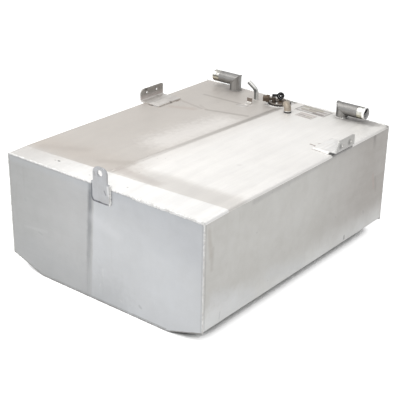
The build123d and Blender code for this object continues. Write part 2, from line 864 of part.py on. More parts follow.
with BuildPart() as elbow_nut:
    with BuildSketch(Plane(origin=elbow_tip, x_dir=(0, 0, 1), z_dir=elbow_along)):
        RegularPolygon(elbow_nut_width / 2, hex_sides, major_radius=False)
    extrude(amount=elbow_nut_length)
elbow_nut.part.label = "elbow_nut"
export_step(elbow_nut.part, "parts/elbow_nut.step")

with BuildPart() as dip_tube:
    with BuildSketch(Plane.XY.offset(elbow_foot)):
        with Locations((pickup_x, pickup_y)):
            Circle(dip_outer / 2)
            Circle(dip_outer / 2 - dip_wall, mode=Mode.SUBTRACT)
    extrude(amount=-(elbow_foot - dip_foot_height))
dip_tube.part.label = "dip_tube"
export_step(dip_tube.part, "parts/dip_tube.step")

strainer_top = dip_foot_height + strainer_overlap
with BuildPart() as strainer:
    with BuildSketch(Plane.XY.offset(strainer_top)):
        with Locations((pickup_x, pickup_y)):
            Circle(strainer_diameter / 2)
    extrude(amount=-strainer_height)
    fillet(strainer.edges().group_by(Axis.Z)[0], radius=strainer_rounding)
    with BuildSketch(Plane.XY.offset(strainer_top)):
        with Locations((pickup_x, pickup_y)):
            Circle(dip_outer / 2)
    extrude(amount=-strainer_overlap, mode=Mode.SUBTRACT)
strainer.part.label = "strainer"
export_step(strainer.part, "parts/strainer.step")

# Outlet: a short port on the flange and a hex fitting that points forward and to the left,
# raised a little so that its hose clears the bonding tab and the left bracket
outlet_rise = math.radians(outlet_tilt)
outlet_along = lead_along * -math.cos(outlet_rise) + Vector(0, 0, math.sin(outlet_rise))
neck_plane = Plane(
    origin=(port_x, port_y, flange_top + outlet_height),
    x_dir=(0, 0, 1),
    z_dir=outlet_along,
)
outlet_plane = neck_plane.offset(outlet_start)
with BuildPart() as outlet_port:
    with BuildSketch(Plane.XY.offset(flange_top)):
        with Locations((port_x, port_y)):
            Circle(port_diameter / 2)
    extrude(amount=port_height)
    fillet(outlet_port.edges().group_by(Axis.Z)[-1], radius=port_rounding)
    with BuildSketch(neck_plane):
        Circle(outlet_neck_diameter / 2)
    extrude(amount=outlet_start)
outlet_port.part.label = "outlet_port"
export_step(outlet_port.part, "parts/outlet_port.step")

with BuildPart() as outlet_fitting:
    with BuildSketch(outlet_plane):
        RegularPolygon(outlet_hex_width / 2, hex_sides, major_radius=False)
    extrude(amount=outlet_hex_length)
    with BuildSketch(outlet_plane.offset(outlet_hex_length)):
        Circle(outlet_barrel_diameter / 2)
    extrude(amount=outlet_length - outlet_hex_length)
    with BuildSketch(outlet_plane.offset(outlet_length)):
        Circle(outlet_bore_diameter / 2)
    extrude(amount=-outlet_bore_depth, mode=Mode.SUBTRACT)
outlet_fitting.part.label = "outlet_fitting"
export_step(outlet_fitting.part, "parts/outlet_fitting.step")

# Bare foil plates glued to the top
labels = (
    ("large_label", large_label_x, large_label_y, large_label_length, large_label_depth),
    ("small_label", small_label_x, small_label_y, small_label_length, small_label_depth),
)
for name, label_x, label_y, length, depth in labels:
    with BuildPart() as plate:
        with BuildSketch(Plane.XY.offset(tank_height)):
            with Locations(Location((label_x, label_y), label_turn)):
                Rectangle(length, depth)
        extrude(amount=label_thickness)
    plate.part.label = name
    export_step(plate.part, f"parts/{name}.step")
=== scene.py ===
import logging
import math
from dataclasses import dataclass, replace
from enum import Enum
from typing import Mapping, Sequence

import bmesh
import bpy
from bpy.types import Material, Mesh, Node, NodeSocket, NodeTree, Object
from mathutils import Matrix, Vector


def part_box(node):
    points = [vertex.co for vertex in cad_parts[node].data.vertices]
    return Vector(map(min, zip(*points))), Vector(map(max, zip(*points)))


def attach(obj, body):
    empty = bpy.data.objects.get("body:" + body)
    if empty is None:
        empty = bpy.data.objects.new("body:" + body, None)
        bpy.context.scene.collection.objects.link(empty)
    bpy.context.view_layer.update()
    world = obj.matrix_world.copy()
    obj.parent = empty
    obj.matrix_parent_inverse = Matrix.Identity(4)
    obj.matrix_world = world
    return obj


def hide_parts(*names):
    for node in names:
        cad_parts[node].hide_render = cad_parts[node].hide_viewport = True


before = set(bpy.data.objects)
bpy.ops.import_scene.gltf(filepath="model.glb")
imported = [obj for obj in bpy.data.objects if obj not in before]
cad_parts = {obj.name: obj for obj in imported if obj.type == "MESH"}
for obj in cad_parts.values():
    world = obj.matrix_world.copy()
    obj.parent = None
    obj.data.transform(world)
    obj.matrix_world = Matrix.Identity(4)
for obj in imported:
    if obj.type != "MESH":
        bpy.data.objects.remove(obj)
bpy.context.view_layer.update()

logging.basicConfig(level=logging.INFO, format="%(message)s")
LOG = logging.getLogger("fuel_tank")

Colour = tuple[float, float, float]
Point = tuple[float, float, float]

# The shell's own sizes, in metres, as its sheets were folded
BREAK_Y = -0.4025
BREAK_SLOPE = 37 / 762
CREASE_FRONT = (-0.040, -0.3965)
CREASE_REAR = (0.011, 0.379)
FRONT_CREASE_TOP = (-0.0325, 0.378)
FRONT_CREASE_FOOT = (-0.057, 0.012)
BILGE_WIDTH = 0.130
BILGE_HEIGHT = 0.044
SHEET = 0.0032
TOP_Z = 0.382

# Scales of the patterns that make edges of tone, edges of marks and the roughness uneven
TONE_SCALE = 14.0
MARK_SCALE = 60.0
ROUGH_SCALE = 22.0

# Angles between faces up to which they count as one flat, and from which an edge is rounded
FLAT_ANGLE = math.radians(0.6)
SHARP_ANGLE = math.radians(32)


class Grain(Enum):
    """The direction in which a metal's fine marks run, as a stretch of the pattern."""

    ALONG_X = (0.04, 1.0, 1.0)
    ALONG_Y = (1.0, 0.04, 1.0)
    ALONG_Z = (1.0, 1.0, 0.05)
    EVEN = (1.0, 1.0, 1.0)


class Kind(Enum):
    """The kinds of socket that a node group has."""

    FLOAT = "NodeSocketFloat"
    INT = "NodeSocketInt"
    VECTOR = "NodeSocketVector"
    GEOMETRY = "NodeSocketGeometry"
    MATERIAL = "NodeSocketMaterial"


@dataclass(frozen=True)
class Mark:
    """A soft mark on a surface, along a line from start to end.

    Attributes:
        start: First end of the line, in metres.
        end: Last end of the line.
        width: Distance from the line at which the mark has faded out.
        colour: Colour of the mark.
        strength: Share of that colour at the line itself.
        core: Share of the width that has the full strength.
        fade: Share of the strength that is left at the line's end.
        wander: How unevenly the mark's edge runs, as a share of its width.
    """

    start: Point
    end: Point
    width: float
    colour: Colour
    strength: float = 0.6
    core: float = 0.25
    fade: float = 1.0
    wander: float = 0.8


@dataclass(frozen=True)
class Slope:
    """A gradual change of tone across a surface.

    Attributes:
        direction: The way in which the tone changes.
        low: Distance along it at which the change starts.
        high: Distance along it at which the change is complete.
        colour: Colour after the change.
        strength: Share of that colour after the change.
        uneven: How far the edge of the change wanders, in metres.
    """

    direction: Point
    low: float
    high: float
    colour: Colour
    strength: float = 1.0
    uneven: float = 0.012


@dataclass(frozen=True)
class Finish:
    """What a surface is made of, how it has aged, and the light and shade painted on it.

    Attributes:
        name: Name of the material.
        colour: Main colour, linear.
        dull: Colour of the weathered film in clouds on it.
        film: Share of the film.
        cloud_scale: Size of the clouds, in patterns a metre.
        metallic: Metallic value.
        rough: Middle roughness.
        rough_spread: How far the roughness wanders.
        grain: Direction of the fine marks.
        grain_scale: Fineness of the marks.
        grain_shade: How far the marks change the colour.
        bump: Height of the grain, in metres.
        specks: Share of small dark specks.
        runs: Share of upright run marks.
        slopes: Gradual changes of tone, painted in order.
        marks: Single marks, painted last.
    """

    name: str
    colour: Colour
    dull: Colour
    film: float = 0.4
    cloud_scale: float = 9.0
    metallic: float = 0.85
    rough: float = 0.45
    rough_spread: float = 0.1
    grain: Grain = Grain.EVEN
    grain_scale: float = 260.0
    grain_shade: float = 0.06
    bump: float = 0.00005
    specks: float = 0.0
    runs: float = 0.0
    slopes: tuple[Slope, ...] = ()
    marks: tuple[Mark, ...] = ()


@dataclass(frozen=True)
class Face:
    """A flat face of the tank that marks lie on.

    Attributes:
        axis: Number of the axis that it faces along.
        level: Its place along that axis, in millimetres.
    """

    axis: int
    level: float

    def place(self, across: float, along: float) -> Point:
        """The place in space of a spot on the face.

        Args:
            across: First distance on the face, in millimetres.
            along: Second distance on it.

        Returns:
            The place, in metres.
        """
        spot = [across, along]
        spot.insert(self.axis, self.level)
        return tuple(distance / 1000 for distance in spot)

    def marks(self, *rows: Sequence) -> tuple[Mark, ...]:
        """Lays marks on the face.

        Args:
            *rows: Each mark's start and end, as four distances on the face, its width, all in
                millimetres, its colour and strength, and its core, fade and wander if they differ.

        Returns:
            The marks.
        """
        return tuple(Mark(self.place(*row[:2]), self.place(*row[2:4]), row[4] / 1000, *row[5:])
                     for row in rows)


class Graph:
    """Adds nodes to one tree and links them, with each result usable as the next input."""

    def __init__(self, tree: NodeTree) -> None:
        """Keeps the tree that the nodes go into."""
        self.tree = tree
        self.column = 0

    @classmethod
    def clear(cls, holder: bpy.types.ID) -> "Graph":
        """The graph of a material or a world, emptied."""
        holder.use_nodes = True
        holder.node_tree.nodes.clear()
        return cls(holder.node_tree)

    def node(self, kind: str, inputs: Mapping[object, object] | None = None,
             **settings: object) -> Node:
        """Adds a node.

        Args:
            kind: Blender's name for the node type.
            inputs: Values or sockets for its inputs, by name or number.
            **settings: Properties of the node.

        Returns:
            The new node.
        """
        made = self.tree.nodes.new(kind)
        self.column += 1
        made.location = (180 * self.column, 0)
        for key, value in settings.items():
            setattr(made, key, value)
        for key, value in (inputs or {}).items():
            self.feed(made.inputs[key], value)
        return made

    def result(self, kind: str, inputs: Mapping[object, object] | None = None,
               **settings: object) -> NodeSocket:
        """Adds a node, given as for node, and returns its first output."""
        return self.node(kind, inputs, **settings).outputs[0]

    def feed(self, socket: NodeSocket, value: object) -> None:
        """Links a socket, or sets its value when what is given isn't a socket.

        Args:
            socket: The input socket.
            value: Another socket, or a plain value.
        """
        if isinstance(value, NodeSocket):
            self.tree.links.new(value, socket)
        elif socket.type == "RGBA" and len(value) == 3:
            socket.default_value = (*value, 1.0)
        else:
            socket.default_value = value

    def math(self, operation: str, *values: object, clamp: bool = False) -> NodeSocket:
        """Adds a math node and returns its result."""
        return self.result("ShaderNodeMath", dict(enumerate(values)), operation=operation,
                           use_clamp=clamp)

    def times(self, first: object, second: object) -> NodeSocket:
        """The product of two values."""
        return self.math("MULTIPLY", first, second)

    def vector(self, operation: str, *values: object) -> NodeSocket:
        """Adds a vector math node and returns its vector."""
        return self.result("ShaderNodeVectorMath", dict(enumerate(values)), operation=operation)

    def measure(self, operation: str, *values: object) -> NodeSocket:
        """Adds a vector math node and returns its number, such as a length or a dot product."""
        return self.node("ShaderNodeVectorMath", dict(enumerate(values)),
                         operation=operation).outputs[1]

    def scaled(self, vector: object, share: object) -> NodeSocket:
        """A vector made longer or shorter."""
        return self.result("ShaderNodeVectorMath", {0: vector, "Scale": share}, operation="SCALE")

    def span(self, value: object, low: object, high: object, start: float = 0.0,
             end: float = 1.0) -> NodeSocket:
        """Eases a value from start to end while it runs from low to high.

        Args:
            value: The value.
            low: Where the change begins.
            high: Where it is complete.
            start: Result before the change.
            end: Result after it.

        Returns:
            The eased value.
        """
        return self.result("ShaderNodeMapRange",
                           {"Value": value, "From Min": low, "From Max": high, "To Min": start,
                            "To Max": end}, interpolation_type="SMOOTHSTEP")

    def mix(self, share: object, first: object, second: object, mode: str = "MIX") -> NodeSocket:
        """Mixes two colours."""
        return self.node("ShaderNodeMix", {0: share, 6: first, 7: second}, data_type="RGBA",
                         blend_type=mode).outputs[2]

    def noise(self, point: object, scale: object, detail: float = 3.0,
              rough: float = 0.55) -> NodeSocket:
        """Adds a noise texture and returns its value."""
        return self.result("ShaderNodeTexNoise", {"Vector": point, "Scale": scale,
                                                  "Detail": detail, "Roughness": rough})

    def use(self, group: NodeTree, **values: object) -> Node:
        """Places a node group.

        Args:
            group: The group to place.
            **values: Values or sockets for its named inputs, with spaces as underscores.

        Returns:
            The group node.
        """
        inputs = {key.replace("_", " "): value for key, value in values.items()}
        return self.node("ShaderNodeGroup", inputs, node_tree=group)

    def close(self, outputs: Mapping[str, NodeSocket], **results: NodeSocket) -> NodeTree:
        """Feeds a group's outputs.

        Args:
            outputs: Their sockets.
            **results: What each gives.

        Returns:
            The group's tree.
        """
        for name, value in results.items():
            self.feed(outputs[name], value)
        return self.tree

    def show(self, shader: Node, kind: str = "ShaderNodeOutputMaterial") -> None:
        """Makes a shader what the tree shows."""
        self.node(kind, {"Surface": shader.outputs[0]})


def open_group(name: str, inputs: Mapping[str, object], outputs: Mapping[str, Kind],
               tree_kind: str = "ShaderNodeTree"
               ) -> tuple[Graph, Mapping[str, NodeSocket], Mapping[str, NodeSocket]]:
    """Starts a node group with named sockets.

    Args:
        name: Name of the group.
        inputs: Each input's value, or its kind where it has no value.
        outputs: Each output's kind.
        tree_kind: Tree type.

    Returns:
        The graph of the group, what its inputs give, and the sockets of its outputs.
    """
    tree = bpy.data.node_groups.new(name, tree_kind)
    kinds = {float: Kind.FLOAT, int: Kind.INT, tuple: Kind.VECTOR}
    for title, value in inputs.items():
        kind = kinds.get(type(value), value)
        made = tree.interface.new_socket(name=title, in_out="INPUT", socket_type=kind.value)
        if kind is not value:
            made.default_value = value
    for title, kind in outputs.items():
        tree.interface.new_socket(name=title, in_out="OUTPUT", socket_type=kind.value)
    graph = Graph(tree)
    return graph, graph.node("NodeGroupInput").outputs, graph.node("NodeGroupOutput").inputs


class Effects:
    """The shader effects that several finishes share, each built once as a node group."""

    def __init__(self) -> None:
        """Builds every shared effect."""
        self.mark_distance = self._mark_distance()
        self.fine_grain = self._fine_grain()
        self.cloud_film = self._cloud_film()
        self.run_marks = self._run_marks()
        self.specks = self._specks()
        self.bar = self._bar()

    @staticmethod
    def _mark_distance() -> NodeTree:
        """Distance of a point from the line between two others."""
        graph, given, out = open_group(
            "mark_distance", {"Point": Kind.VECTOR, "Start": Kind.VECTOR, "End": Kind.VECTOR},
            {"Distance": Kind.FLOAT, "Along": Kind.FLOAT})
        line = graph.vector("SUBTRACT", given["End"], given["Start"])
        away = graph.vector("SUBTRACT", given["Point"], given["Start"])
        square = graph.math("MAXIMUM", graph.measure("DOT_PRODUCT", line, line), 1e-9)
        share = graph.math("DIVIDE", graph.measure("DOT_PRODUCT", away, line), square, clamp=True)
        rest = graph.vector("SUBTRACT", away, graph.scaled(line, share))
        return graph.close(out, Distance=graph.measure("LENGTH", rest), Along=share)

    @staticmethod
    def _fine_grain() -> NodeTree:
        """Fine rolled or brushed lines, stretched along one way."""
        graph, given, out = open_group(
            "fine_grain", {"Point": Kind.VECTOR, "Stretch": (1, 1, 1), "Scale": 260.0},
            {"Lines": Kind.FLOAT})
        point = graph.vector("MULTIPLY", given["Point"], given["Stretch"])
        fine = graph.noise(point, given["Scale"], 4.0, 0.7)
        broad = graph.noise(point, graph.times(given["Scale"], 0.22), 2.0)
        both = graph.math("ADD", graph.times(fine, 0.65), graph.times(broad, 0.35))
        return graph.close(out, Lines=graph.span(both, 0.3, 0.7))

    @staticmethod
    def _cloud_film() -> NodeTree:
        """Soft uneven clouds, as of oxide or dust on sheet metal."""
        graph, given, out = open_group(
            "cloud_film", {"Point": Kind.VECTOR, "Scale": 9.0}, {"Cover": Kind.FLOAT})
        wide = graph.noise(given["Point"], given["Scale"], 5.0, 0.62)
        small = graph.noise(given["Point"], graph.times(given["Scale"], 6.5), 3.0, 0.7)
        both = graph.math("ADD", graph.times(wide, 0.75), graph.times(small, 0.25))
        return graph.close(out, Cover=graph.span(both, 0.34, 0.66))

    @staticmethod
    def _run_marks() -> NodeTree:
        """Upright streaks left by water and fuel that ran down a wall."""
        graph, given, out = open_group(
            "run_marks", {"Point": Kind.VECTOR, "Scale": 55.0}, {"Cover": Kind.FLOAT})
        point = graph.vector("MULTIPLY", given["Point"], (1.0, 1.0, 0.12))
        streak = graph.span(graph.noise(point, given["Scale"], 3.0, 0.6), 0.56, 0.74)
        patch = graph.span(graph.noise(given["Point"], 7.0, 2.0), 0.5, 0.68)
        return graph.close(out, Cover=graph.times(streak, patch))

    @staticmethod
    def _specks() -> NodeTree:
        """Small pits and specks, sparse and of uneven size."""
        graph, given, out = open_group(
            "specks", {"Point": Kind.VECTOR, "Scale": 60.0}, {"Cover": Kind.FLOAT})
        cells = graph.node("ShaderNodeTexVoronoi",
                           {"Vector": given["Point"], "Scale": given["Scale"]}, feature="F1")
        size = graph.times(graph.span(cells.outputs["Color"], 0.84, 0.97), 0.16)
        return graph.close(out, Cover=graph.math("LESS_THAN", cells.outputs["Distance"], size))

    @staticmethod
    def _bar() -> NodeTree:
        """A soft-edged rectangle of print on a flat plate."""
        graph, given, out = open_group(
            "printed_bar", {"Point": Kind.VECTOR, "Centre": Kind.VECTOR,
                            "Half Size": (0.01, 0.01, 1.0), "Softness": 0.0008},
            {"Cover": Kind.FLOAT})
        away = graph.vector("ABSOLUTE", graph.vector("SUBTRACT", given["Point"], given["Centre"]))
        over = graph.node("ShaderNodeSeparateXYZ",
                          {0: graph.vector("SUBTRACT", away, given["Half Size"])}).outputs
        worst = graph.math("MAXIMUM", over[0], over[1])
        soft = given["Softness"]
        return graph.close(out, Cover=graph.span(worst, graph.times(soft, -1.0), soft, 1.0, 0.0))


class Workshop:
    """Turns finishes into materials, one material for each finish."""

    def __init__(self) -> None:
        """Starts with no materials and builds the shared effects."""
        self.effects = Effects()
        self.made: dict[str, Material] = {}

    def _paint(self, graph: Graph, point: NodeSocket, finish: Finish) -> NodeSocket:
        """Builds the colour of a finish.

        Args:
            graph: The material's graph.
            point: Object coordinates.
            finish: The finish.

        Returns:
            The colour socket.
        """
        colour = finish.colour
        for slope in finish.slopes:
            reach = graph.measure("DOT_PRODUCT", point, slope.direction)
            uneven = graph.math("MULTIPLY_ADD", graph.noise(point, TONE_SCALE), slope.uneven, reach)
            shift = slope.uneven / 2
            share = graph.span(uneven, slope.low + shift, slope.high + shift, 0.0, slope.strength)
            colour = graph.mix(share, colour, slope.colour)
        layers = ((self.effects.cloud_film, finish.film, {"Scale": finish.cloud_scale}),
                  (self.effects.run_marks, finish.runs, {}))
        for effect, share, values in layers:
            if share > 0:
                cover = graph.use(effect, Point=point, **values).outputs[0]
                colour = graph.mix(graph.times(cover, share), colour,
                                   graph.mix(1.0, colour, finish.dull, "MULTIPLY"))
        if finish.specks > 0:
            specks = graph.use(self.effects.specks, Point=point).outputs[0]
            colour = graph.mix(graph.times(specks, finish.specks), colour, SPECK)
        for mark in finish.marks:
            away = graph.use(self.effects.mark_distance, Point=point, Start=mark.start,
                             End=mark.end).outputs
            stray = mark.width * mark.wander
            wander = graph.math("MULTIPLY_ADD", graph.noise(point, MARK_SCALE), stray, away[0])
            share = graph.span(wander, mark.width * mark.core + stray / 2,
                               mark.width + stray / 2, mark.strength, 0.0)
            if mark.fade < 1.0:
                share = graph.times(share, graph.span(away["Along"], 0.0, 1.0, 1.0, mark.fade))
            colour = graph.mix(share, colour, mark.colour)
        return colour

    def material(self, finish: Finish) -> Material:
        """Builds, or finds, the material of a finish.

        Args:
            finish: The finish.

        Returns:
            The material.
        """
        if finish.name in self.made:
            return self.made[finish.name]
        made = self.made[finish.name] = bpy.data.materials.new(finish.name)
        graph = Graph.clear(made)
        point = graph.node("ShaderNodeTexCoord").outputs["Object"]
        grain = graph.use(self.effects.fine_grain, Point=point, Stretch=finish.grain.value,
                          Scale=finish.grain_scale).outputs[0]
        shade = graph.span(grain, 0.0, 1.0, 1.0 - finish.grain_shade, 1.0 + finish.grain_shade)
        tone = graph.result("ShaderNodeCombineColor", dict.fromkeys(range(3), shade))
        colour = graph.mix(1.0, self._paint(graph, point, finish), tone, "MULTIPLY")
        wander = graph.math("ADD", graph.times(grain, 0.5),
                            graph.times(graph.noise(point, ROUGH_SCALE), 0.5))
        rough = graph.span(wander, 0.2, 0.8, finish.rough - finish.rough_spread,
                           finish.rough + finish.rough_spread)
        bump = graph.result("ShaderNodeBump", {"Strength": 1.0, "Distance": finish.bump,
                                               "Height": grain})
        graph.show(graph.node("ShaderNodeBsdfPrincipled", {
            "Base Color": colour, "Roughness": rough, "Normal": bump,
            "Metallic": finish.metallic}))
        return made


def dress(node: str, material: Material) -> None:
    """Gives a CAD node its material and reports it.

    Args:
        node: The CAD node.
        material: Its material.
    """
    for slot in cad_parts[node].material_slots:
        slot.link = "OBJECT"
        slot.material = material
    LOG.info("dressed %s with %s", node, material.name)


def place_object(name: str, data: bpy.types.ID) -> Object:
    """Adds an object to the scene.

    Args:
        name: Its name.
        data: Its mesh, curve, lamp or camera.

    Returns:
        The object.
    """
    made = bpy.data.objects.new(name, data)
    bpy.context.scene.collection.objects.link(made)
    return made


def link(name: str, mesh: Mesh, material: Material, slot: str, *replaces: str) -> None:
    """Places a finished mesh on the tank.

    Args:
        name: Name of the piece.
        mesh: Its mesh, in place.
        material: Its material.
        slot: Name of its material slot; not used.
        *replaces: CAD nodes that it stands for.
    """
    piece = place_object(name, mesh)
    if not mesh.materials:
        mesh.materials.append(material)
    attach(piece, "tank")
    if replaces:
        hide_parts(*replaces)
    LOG.info("made %s, %d faces", name, len(mesh.polygons))


def mesh_from(shape: bmesh.types.BMesh, name: str, sharp_angle: float = 35.0) -> Mesh:
    """Writes a bmesh to a mesh with outward faces and smooth shading between sharp edges.

    Args:
        shape: The bmesh, which is then freed.
        name: Name of the mesh.
        sharp_angle: Angle in degrees from which an edge is sharp.

    Returns:
        The mesh.
    """
    bmesh.ops.remove_doubles(shape, verts=shape.verts, dist=1e-7)
    bmesh.ops.recalc_face_normals(shape, faces=shape.faces)
    mesh = bpy.data.meshes.new(name)
    shape.to_mesh(mesh)
    shape.free()
    mesh.polygons.foreach_set("use_smooth", [True] * len(mesh.polygons))
    mesh.set_sharp_from_angle(angle=math.radians(sharp_angle))
    return mesh


def softened(node: str, width: float) -> Mesh:
    """A copy of a CAD node's mesh with its sharp edges rounded.

    Args:
        node: The CAD node.
        width: Width of the rounding.

    Returns:
        The new mesh.
    """
    shape = bmesh.new()
    shape.from_mesh(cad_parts[node].data)
    bmesh.ops.remove_doubles(shape, verts=shape.verts, dist=1e-6)
    bmesh.ops.dissolve_limit(shape, angle_limit=FLAT_ANGLE, verts=shape.verts,
                             edges=shape.edges)
    sharp = [e for e in shape.edges if e.is_manifold and e.calc_face_angle(0.0) > SHARP_ANGLE]
    bmesh.ops.bevel(shape, geom=sharp, offset=width, segments=2, profile=0.6, affect="EDGES",
                    clamp_overlap=True)
    return mesh_from(shape, node)


def around(sides: int) -> list[tuple[float, float]]:
    """Cosine and sine of each corner of a regular figure.

    Args:
        sides: Number of its corners.

    Returns:
        A pair for each corner.
    """
    turns = [math.tau * k / sides for k in range(sides)]
    return [(math.cos(turn), math.sin(turn)) for turn in turns]


def axis_frame(origin: Point, axis: Point) -> Matrix:
    """A frame at origin whose local Z points along axis."""
    turn = Vector(axis).to_track_quat("Z", "Y").to_matrix().to_4x4()
    return Matrix.Translation(Vector(origin)) @ turn


def lathe(profile: Sequence[tuple[float, float]], origin: Point, side: int, name: str,
          sides: int = 72) -> Mesh:
    """A turned tube.

    Args:
        profile: Closed outline of radius and height points.
        origin: Start of its axis.
        side: The way in which its axis runs along X, 1 or -1.
        name: Name of the mesh.
        sides: Faces round it.

    Returns:
        The mesh.
    """
    place = axis_frame(origin, (side, 0, 0))
    shape = bmesh.new()
    rings = [[shape.verts.new(place @ Vector((r * cosine, r * sine, h))) for r, h in profile]
             for cosine, sine in around(sides)]
    for ring, following in zip(rings, rings[1:] + rings[:1]):
        for step in range(len(profile)):
            after = (step + 1) % len(profile)
            shape.faces.new((ring[step], following[step], following[after], ring[after]))
    return mesh_from(shape, name, 25.0)


def hose(shape: bmesh.types.BMesh, route: Sequence[Vector], radius: float, sides: int = 14) -> None:
    """Adds a round strand with closed ends along a route.

    Args:
        shape: The bmesh that it joins.
        route: Points of its centreline, close together.
        radius: Radius of the strand.
        sides: Faces round it.
    """
    across = (route[1] - route[0]).orthogonal().normalized()
    rings = []
    for number, centre in enumerate(route):
        ahead = route[min(number + 1, len(route) - 1)] - route[max(number - 1, 0)]
        ahead.normalize()
        across = (across - ahead * across.dot(ahead)).normalized()
        side = ahead.cross(across)
        rings.append([shape.verts.new(centre + (across * cosine + side * sine) * radius)
                      for cosine, sine in around(sides)])
    for first, second in zip(rings, rings[1:]):
        for k in range(sides):
            after = (k + 1) % sides
            shape.faces.new((first[k], first[after], second[after], second[k]))
    shape.faces.new(rings[0])
    shape.faces.new(rings[-1])


def plain_mesh(piece: Object) -> Mesh:
    """The evaluated mesh of an object, which is then removed with its modifiers.

    Args:
        piece: The object.

    Returns:
        Its mesh.
    """
    bpy.context.view_layer.update()
    graph = bpy.context.evaluated_depsgraph_get()
    mesh = bpy.data.meshes.new_from_object(piece.evaluated_get(graph), depsgraph=graph)
    bpy.data.objects.remove(piece)
    return mesh


def grow(name: str, seed_mesh: Mesh, tree: NodeTree, **values: object) -> Mesh:
    """Runs a Geometry Nodes tree on a mesh.

    Args:
        name: Name of the result.
        seed_mesh: The mesh that the tree starts from.
        tree: The tree.
        **values: Its named inputs, with spaces as underscores.

    Returns:
        The resulting plain mesh.
    """
    carrier = place_object(name, seed_mesh)
    modifier = carrier.modifiers.new(name, "NODES")
    modifier.node_group = tree
    sockets = {item.name: item.identifier for item in tree.interface.items_tree
               if item.item_type == "SOCKET" and item.in_out == "INPUT"}
    for key, value in values.items():
        modifier[sockets[key.replace("_", " ")]] = value
    mesh = plain_mesh(carrier)
    mesh.name = name
    return mesh


class Patterns:
    """The Geometry Nodes trees for what repeats on the tank."""

    def __init__(self) -> None:
        """Builds each tree once."""
        self.weld = self._weld()
        self.screws = self._screws()
        self.gauze = self._gauze()

    @staticmethod
    def _open(name: str, **inputs: object) -> tuple:
        """Starts a tree on a geometry, with a material.

        Args:
            name: Name of the tree.
            **inputs: Its other inputs' values or kinds, with spaces as underscores.

        Returns:
            The graph, what its inputs give, and the sockets of its outputs.
        """
        named = {key.replace("_", " "): value for key, value in inputs.items()}
        return open_group(name, {"Geometry": Kind.GEOMETRY, **named, "Material": Kind.MATERIAL},
                          {"Geometry": Kind.GEOMETRY}, "GeometryNodeTree")

    @staticmethod
    def _close(graph: Graph, out: Mapping[str, NodeSocket], geometry: NodeSocket,
               material: NodeSocket) -> NodeTree:
        """Ends a tree with real faces, smooth shading and its material.

        Args:
            graph: The tree's graph.
            out: The sockets of its outputs.
            geometry: What it has made.
            material: The material's socket.

        Returns:
            The tree.
        """
        real = graph.result("GeometryNodeRealizeInstances", {0: geometry})
        smooth = graph.result("GeometryNodeSetShadeSmooth", {"Geometry": real})
        paint = graph.result("GeometryNodeSetMaterial", {"Geometry": smooth,
                                                         "Material": material})
        return graph.close(out, Geometry=paint)

    def _weld(self) -> NodeTree:
        """A weld bead: overlapping ripples of uneven size that follow the edges of a path."""
        graph, given, out = self._open("weld_bead", Bead_Radius=0.0035, Pitch=0.0032,
                                       Unevenness=0.25, Wander=0.0004, Seed=1)
        curve = graph.result("GeometryNodeMeshToCurve", {0: given["Geometry"]})
        steps = graph.result("GeometryNodeResampleCurve",
                             {"Curve": curve, "Length": given["Pitch"]}, mode="LENGTH")
        drift = graph.result("FunctionNodeRandomValue",
                             {0: (-1.0, -1.0, -1.0), "Seed": given["Seed"]},
                             data_type="FLOAT_VECTOR")
        moved = graph.result("GeometryNodeSetPosition",
                             {"Geometry": steps, "Offset": graph.scaled(drift, given["Wander"])})
        ripple = graph.result("GeometryNodeMeshIcoSphere", {"Radius": 1.0, "Subdivisions": 3})
        aim = graph.result("FunctionNodeAlignRotationToVector",
                           {"Vector": graph.result("GeometryNodeInputTangent")}, axis="Z")
        spread = graph.node("FunctionNodeRandomValue", {
            2: graph.math("SUBTRACT", 1.0, given["Unevenness"]),
            3: graph.math("ADD", 1.0, given["Unevenness"]),
            "Seed": graph.math("ADD", given["Seed"], 7.0)}, data_type="FLOAT").outputs[1]
        radius = graph.times(spread, given["Bead Radius"])
        size = graph.result("ShaderNodeCombineXYZ",
                            {0: radius, 1: radius, 2: graph.times(given["Pitch"], 0.95)})
        beads = graph.result("GeometryNodeInstanceOnPoints", {
            "Points": moved, "Instance": ripple, "Rotation": aim, "Scale": size})
        return self._close(graph, out, beads, given["Material"])

    def _screws(self) -> NodeTree:
        """A circle of equal screws, each with its head as given."""
        graph, given, out = self._open("screw_circle", Count=5, Circle_Radius=0.028,
                                       Start_Angle=0.0, Centre=Kind.VECTOR, Turn_Seed=3)
        ring = graph.result("GeometryNodeMeshCircle", {
            "Vertices": given["Count"], "Radius": given["Circle Radius"]}, fill_type="NONE")
        angle = graph.result("ShaderNodeCombineXYZ", {2: given["Start Angle"]})
        moved = graph.result("GeometryNodeTransform", {
            "Geometry": ring, "Translation": given["Centre"], "Rotation": angle})
        turn = graph.result("FunctionNodeRandomValue", {
            0: (0.0, 0.0, 0.0), 1: (0.0, 0.0, math.tau), "Seed": given["Turn Seed"]},
            data_type="FLOAT_VECTOR")
        heads = graph.result("GeometryNodeInstanceOnPoints", {
            "Points": moved, "Instance": given["Geometry"], "Rotation": turn})
        return self._close(graph, out, heads, given["Material"])

    def _gauze(self) -> NodeTree:
        """Woven wires on the edges of a grid that is wrapped round a drum."""
        graph, given, out = self._open("wire_gauze", Wire_Radius=0.0003)
        curve = graph.result("GeometryNodeMeshToCurve", {0: given["Geometry"]})
        wire = graph.result("GeometryNodeCurvePrimitiveCircle",
                            {"Resolution": 4, "Radius": given["Wire Radius"]})
        swept = graph.result("GeometryNodeCurveToMesh", {"Curve": curve, "Profile Curve": wire})
        return self._close(graph, out, swept, given["Material"])


